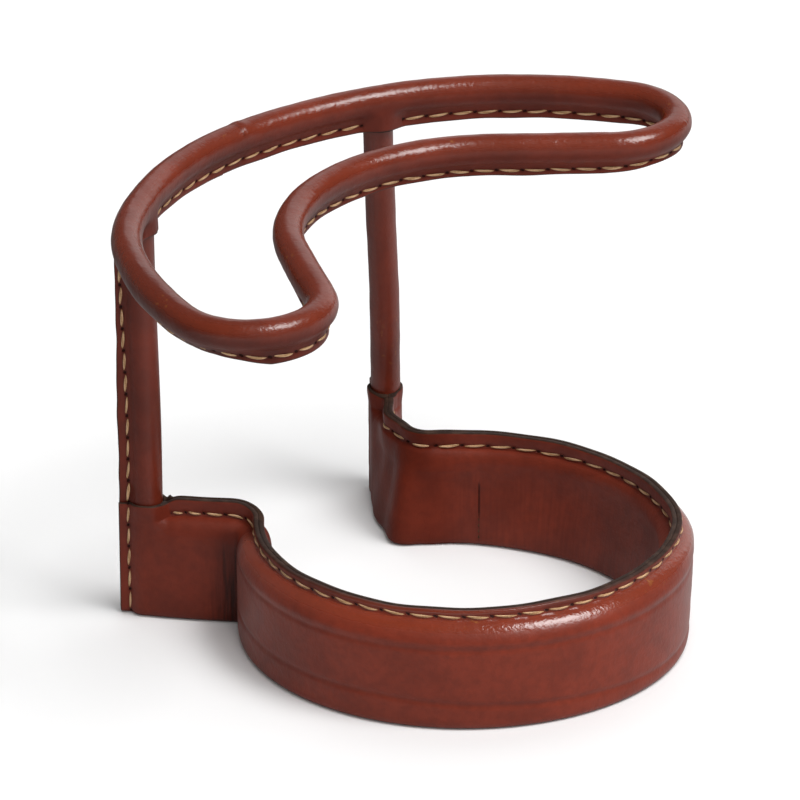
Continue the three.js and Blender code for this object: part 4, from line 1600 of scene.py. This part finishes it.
        front, back = self.row_runs(True), self.row_runs(False)
        right, left = self.posts()
        on_bar = (run > left) | (run < right)
        unrolled = np.where(run < right, run + self.rail.length, run)
        front_u = (run - front[0]) / (front[1] - front[0])
        back_u = (unrolled - back[0]) / (back[1] - back[0])
        row_u = np.where(on_bar, back_u, front_u)[:, None] + 0.0 * w
        closed = away > LEATHER.stop - 0.7
        face = shown & (w < -LEATHER.fin_from)
        row_v = np.where(closed & face, w + self.row_drop(run)[:, None], NO_ROW)
        x = x - np.where(face, channel(row_u, row_v), 0.0)
        # painted shade in the crease between tube and seam
        crease = 0.14 * bell(w, -LEATHER.fin_crease, 0.6) * shown * (1.0 - open_)
        lap_line = 0.35 * bell(run[:, None], at_lap + 1.7, 0.25) * smooth_step(w, 0.0, 2.0)
        crease = crease + lap_line * shown
        lowest = self.reach + self.fin_depth(run)[:, None]
        edge = np.where(shown, smooth_step(-w, lowest - 0.45, lowest - 0.15), 1.0)
        bent = np.abs(np.interp(run, *self.tight_bends()))[:, None]
        # 0.42 deepens the dye of the whole loop; the two bells are painted shade on stretches that run
        # towards the eye
        dye_and_shade = 0.42 + 0.5 * bell(run, 88.0, 44.0) + 0.25 * bell(run, 178.0, 24.0)
        marks = {
            "edge": edge,
            # tube tops, where they face the lamps: gloss, and a painted lit tone
            "burnish": 0.7 * bell(w, 2.3, 1.6) * shown,
            "depth": dye_and_shade[:, None] + 0.0 * w,
            "crease": crease,
            "wrinkle": 0.1 * bent * shown,
            "row_u": row_u,
            "row_v": row_v,
            "along": run[:, None] * MM + 0.0 * w,
            "rise": FOLD_STRETCH * (w + 2.0 * side.value) * MM,
        }
        sway = self.fin_sway(run)[:, None] * with_edge + self.drift(run)[:, None]
        return side.value * x + sway, self.height + w, marks

    def tight_bends(self) -> tuple[Array, Array]:
        """Where the loop is bent, and how tightly.

        Returns:
            Runs, and shares of bend there: 1 at the tips, less on the rest.
        """
        starts = self.rail.starts
        middles = np.concatenate([starts[1:], [self.rail.length]]) * 0.5 + starts * 0.5
        return middles, np.clip(np.abs(self.rail.curvatures) * PLANS.tip_r, 0.0, 1.0)

    def build(self, material: bpy.types.Material) -> None:
        """Make the sleeve and let it stand for its node.

        Args:
            material: Finish of the leather.
        """
        run = self.runs()
        across, height, marks = both_halves(self.half_outline, run)
        skin = Skin(self.rail.sweep(run, across, height), marks)
        settle(write_mesh("loop_sleeve", [skin]), "leather", material, "loop_cover")

    def rows(self) -> list[ThreadRow]:
        """Rows of stitches on both faces of the hanging seam, broken at the posts.

        Returns:
            The two front rows and the two rows on the hand bar.
        """
        depth = LEATHER.seam - LEATHER.thread_seat()
        share = (FIN_STITCH - LEATHER.sleeve) / (self.reach - LEATHER.sleeve)
        found = []
        for where in ("front", "back"):
            runs = with_middles(self.row_runs(where == "front"))
            place = np.mod(runs, self.rail.length)
            sway = share * self.fin_sway(place) + self.drift(place)
            height = self.height - self.row_drop(place)
            for side in Side:
                node = f"loop_thread_{where}_{side.name.lower()}"
                found.append(rail_row(node, self.rail, runs, side, depth, height, sway))
        return found


@dataclass
class PostSleeve:
    """Sleeve of one post, its seam a fin that points away from the ring."""

    hand: Hand
    lean: complex = -0.64 - 0.56j  # how far the upper end stands off its axis
    foot: complex = 0.28 + 0.415j  # and the lower end of the left one
    low: float = 1.8
    lip: float = 25.6  # below this the sleeve is in its ear, pressed thin
    high: float = 96.9
    fin_top: float = 95.0
    throat: float = 2.0  # rounding between tube and fin
    wave: float = 0.16  # unevenness of the fin's cut edge
    narrow: float = 0.9  # how much less the fin reaches at its top
    press: float = 0.22  # how much thinner the sleeve is in its ear

    def name(self) -> str:
        """Left or right."""
        return self.hand.name.lower()

    def frame(self) -> tuple[complex, complex]:
        """Axis of the post in the part's frame and the way out of its fin."""
        out = np.exp(1j * PLANS.ear_heading(self.hand))
        return RING_CENTRE + PLANS.post_place(self.hand), out

    def axis_at(self, height: Array) -> Plan:
        """Axis of the sleeve, which leans a little in its upper half.

        Args:
            height: Heights.

        Returns:
            Its plan place at each height.
        """
        upper = smooth_step(height, 40.0, 95.0)
        foot = self.foot if self.hand is Hand.LEFT else 0.0
        return self.frame()[0] + self.lean * upper + foot * (1.0 - upper)

    def half_outline(self, height: Array, side: Side) -> Half:
        """One half of the sleeve's outline at each height.

        Args:
            height: Heights of the rows.
            side: Left or right of the way out.

        Returns:
            Offsets outwards and to the left, rows by columns, and the marks.
        """
        x0, w0, with_edge, hollow = SleeveOutline(FIN_REACH, self.throat).columns()
        z = height[:, None]
        shown = (np.arange(len(x0)) >= hollow)[None, :] & (z > 0.0)
        x, w = x0 + 0.0 * z, w0 + 0.0 * z
        nick = self.wave * hand_wave(z, 31.0, 0.7 * self.hand.value + 1.0)
        narrowed = self.narrow * smooth_step(z, 45.0, 92.0)
        cut_back = 2.0 * smooth_step(z, self.fin_top - 0.1, self.fin_top + 0.1)
        pressed = smooth_step(z, self.lip, self.lip - 2.5)
        w = w + (nick * (1.0 - pressed) + narrowed + cut_back + 0.2 * pressed) * with_edge
        x = np.where(with_edge > 0.0, x, x * (1.0 + 0.02 * hand_wave(z + w, 27.0, side.value + 3.0)))
        thin = np.where(shown & (with_edge == 0.0), 1.0 - self.press * pressed, 1.0)
        x, w = x * thin, w * thin
        row_u, row_v = fin_row(z + 0.0 * w, -w)
        face = shown & (w < -LEATHER.fin_from)
        row_v = np.where(face, row_v, NO_ROW)
        x = x - np.where(face, channel(row_u, row_v), 0.0)
        marks = {
            "edge": np.where(shown, smooth_step(with_edge, 0.86, 0.95) + 0.0 * w, 1.0),
            # tube tops, where they face the lamps: gloss, and a painted lit tone
            "burnish": 0.25 * bell(w, 2.5, 2.0) * shown,
            "depth": 0.5 + 0.0 * w,
            # painted shade in the crease between tube and fin
            "crease": 0.12 * bell(w, -LEATHER.fin_crease, 0.6) * shown,
            "wrinkle": 0.0 * w,
            "row_u": row_u,
            "row_v": row_v,
            "along": z * MM + 0.0 * w,
            "rise": FOLD_STRETCH * w * MM,
        }
        return -w, side.value * x, marks

    def build(self, material: bpy.types.Material) -> None:
        """Make the sleeve and let it stand for its node.

        Args:
            material: Finish of the leather.
        """
        breaks = (self.low, 21.0, self.fin_top - 0.6, self.fin_top + 0.6, self.high)
        height = steps(*zip(breaks, breaks[1:], (1.5, 0.7, 0.1, 0.4)))
        along, across, marks = both_halves(self.half_outline, height)
        plan = self.axis_at(height)[:, None] + (along + 1j * across) * self.frame()[1]
        skin = Skin(at_height(plan, height[:, None]), marks)
        piece = write_mesh("post_sleeve_" + self.name(), [skin])
        settle(piece, "leather", material, "post_cover_" + self.name())

    def rows(self) -> list[ThreadRow]:
        """Rows of stitches on both faces of the fin, over the ear and on up the sleeve.

        Returns:
            The row towards the mouth and the one on the flank.
        """
        out = self.frame()[1]
        heights = np.linspace(FIN_LOW, FIN_HIGH, 2 * FIN_COUNT + 1)
        over = [LEATHER.fin_face, LEATHER.fin_face - 0.1, LEATHER.seam]  # out over the ear's lip
        face = np.interp(heights, [27.0, 30.0, 34.5], over) - LEATHER.thread_seat()
        outwards = np.full(heights.shape, out)
        found = []
        for where, turn in (("mouth", -self.hand.value), ("flank", self.hand.value)):
            way = -1j * turn * out
            points = at_height(self.axis_at(heights) + fin_drift(heights) * out + face * way, heights)
            outs = at_height(np.full(heights.shape, way), 0.0)
            node = f"post_thread_{self.name()}_{where}"
            found.append(ThreadRow(node, points, outs, at_height(outwards, 0.0)))
        return found


@dataclass
class InnerFrame:
    """Steel inside the covers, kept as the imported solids."""

    names: tuple[str, ...] = ("base_strap", "loop_rod", "post_rod_left", "post_rod_right")

    def dress(self, steel: bpy.types.Material) -> None:
        """Give the bar and the rods their finish.

        Args:
            steel: Finish of the steel.
        """
        for name in self.names:
            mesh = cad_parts[name].data
            mesh.materials.clear()
            mesh.materials.append(steel)
            LOG.info("%s: dressed", name)


@dataclass(frozen=True)
class Lamp:
    """A far lamp: its strength, its width, and its direction, turned from -Y towards +X, in degrees."""

    name: str
    strength: float
    width: float
    turn: float
    rise: float
    matt: bool = True  # whether it lights matt faces
    polish: bool = True  # whether polished faces show it

    def hang(self) -> None:
        """Put the lamp into the scene."""
        turn, rise = np.radians(self.turn), np.radians(self.rise)
        way = Vector((np.sin(turn) * np.cos(rise), -np.cos(turn) * np.cos(rise), np.sin(rise)))
        lamp = bpy.data.lights.new(self.name, "SUN")
        lamp.energy = self.strength
        lamp.angle = float(np.radians(self.width))
        held = bpy.data.objects.new(self.name, lamp)
        held.visible_diffuse, held.visible_glossy = self.matt, self.polish
        held.rotation_mode = "QUATERNION"
        held.rotation_quaternion = (-way).to_track_quat("-Z", "Y")
        bpy.context.scene.collection.objects.link(held)


@dataclass
class Studio:
    """Pale floor, soft light and the camera at the photograph's angle."""

    floor_size: float = 12.0
    floor_colour: str = "#fdfdfd"
    floor_front: str = "#d8d8d8"  # what the floor throws back at the object, in front of it
    floor_back: str = "#606060"  # and out of the light, behind it
    fall_off: tuple[float, float] = (-0.35, -0.02)  # between these two, in metres
    sky: float = 0.08
    backlight: float = 0.01  # how much of the floor is lit through, for the eye only
    camera_place: tuple[float, float, float] = (1.0953, -1.2430, 0.8146)
    camera_way: tuple[float, float, float] = (-0.6033, 0.6796, -0.4172)
    camera_roll: float = -0.276
    lens: float = 361.5
    lens_shift: tuple[float, float] = (0.001, 0.00125)
    lamps: tuple[Lamp, ...] = (
        Lamp("front", 1.03, 60.0, 60.0, 45.0, polish=False),
        Lamp("side", 1.16, 28.0, 109.5, 56.0),
        Lamp("top", 0.97, 30.0, 92.0, 70.0, polish=False),
        Lamp("rear", 0.87, 60.0, 220.0, 50.0, polish=False),
        Lamp("card", 0.38, 50.0, 203.0, 16.0, matt=False),
    )

    def floor(self) -> None:
        """A flat pale floor, plain to the eye, that throws back less light behind the object."""
        half = self.floor_size / 2.0
        mesh = bpy.data.meshes.new("floor")
        corners = [(-half, -half, 0.0), (half, -half, 0.0), (half, half, 0.0), (-half, half, 0.0)]
        mesh.from_pydata(corners, [], [(0, 1, 2, 3)])
        floor = bpy.data.objects.new("floor", mesh)
        bpy.context.scene.collection.objects.link(floor)
        material, add = new_material("matt_white_board")
        path = add("LightPath").node.outputs
        seen = path["Is Camera Ray"]
        for ray in ("Is Glossy Ray", "Is Transmission Ray"):
            seen = add("Math", seen, path[ray], operation="MAXIMUM")
        ahead = add("SeparateXYZ", add("TexCoord", out="Object"), out="X")
        tints = {0: add("MapRange", ahead, *self.fall_off)}
        tints |= {6: linear(self.floor_back), 7: linear(self.floor_front)}
        tints = {6: add("Mix", tints, data_type="RGBA", out=2), 7: linear(self.floor_colour)}
        tints[0] = path["Is Camera Ray"]
        shader = {
            "Base Color": add("Mix", tints, data_type="RGBA", out=2),
            "Roughness": 0.9,
            "Specular IOR Level": 0.1,
            "Emission Color": (1.0, 1.0, 1.0, 1.0),
            "Emission Strength": add("Math", seen, self.backlight, operation="MULTIPLY"),
        }
        add("OutputMaterial", add("BsdfPrincipled", shader))
        mesh.materials.append(material)

    def light(self) -> None:
        """An even dim sky, four soft lamps, and a white card that only the polish shows."""
        world = bpy.data.worlds.new("studio")
        world.use_nodes = True
        world.node_tree.nodes.clear()
        sky = add_node(world.node_tree, "Background", (1.0, 1.0, 1.0, 1.0), self.sky)
        add_node(world.node_tree, "OutputWorld", sky)
        bpy.context.scene.world = world
        for lamp in self.lamps:
            lamp.hang()

    def camera(self) -> None:
        """The camera, turned by its way and its small roll."""
        lens = bpy.data.cameras.new("camera")
        lens.lens = self.lens
        lens.sensor_width = 36.0
        lens.shift_x, lens.shift_y = self.lens_shift
        camera = bpy.data.objects.new("camera", lens)
        way = Vector(self.camera_way).normalized()
        right = way.cross(Vector(UP)).normalized()
        up = right.cross(way)
        roll = np.radians(self.camera_roll)
        across = right * np.cos(roll) + up * np.sin(roll)
        upright = up * np.cos(roll) - right * np.sin(roll)
        turn = Matrix((across, upright, -way)).transposed()
        camera.matrix_world = Matrix.Translation(self.camera_place) @ turn.to_4x4()
        bpy.context.scene.collection.objects.link(camera)
        bpy.context.scene.camera = camera

    def build(self) -> None:
        """Set up the floor, the light and the camera."""
        self.floor()
        self.light()
        self.camera()
        bpy.context.scene.view_settings.view_transform = "Standard"


def main() -> None:
    """Build and dress the carrier."""
    logging.basicConfig(level=logging.INFO, format="%(name)s %(message)s")
    hide = WaxedCowhide().material()
    linen = WaxedLinen().material()
    dark = WaxedLinen("dark_waxed_linen", fibre="#5a3820", shade="#24140c").material()
    board = Leatherboard().material()
    InnerFrame().dress(MillSteel().material())
    ring, loop = RingCover(), LoopSleeve()
    ring.build_liners(board)
    posts = [PostSleeve(hand) for hand in Hand]
    for cover in (ring, loop, *posts):
        cover.build(hide)
        for seed, row in enumerate(cover.rows()):
            row.build(Stitch(), linen, "thread", seed + len(row.node))
    small = Stitch(wide=0.2, thick=0.2, lean=0.05, sag=0.0, rise=0.02, sink=0.25, gap=0.4)
    ring.dart_row().build(small, dark, "dart_thread", 5)
    Studio().build()


if __name__ == "__main__":
    main()
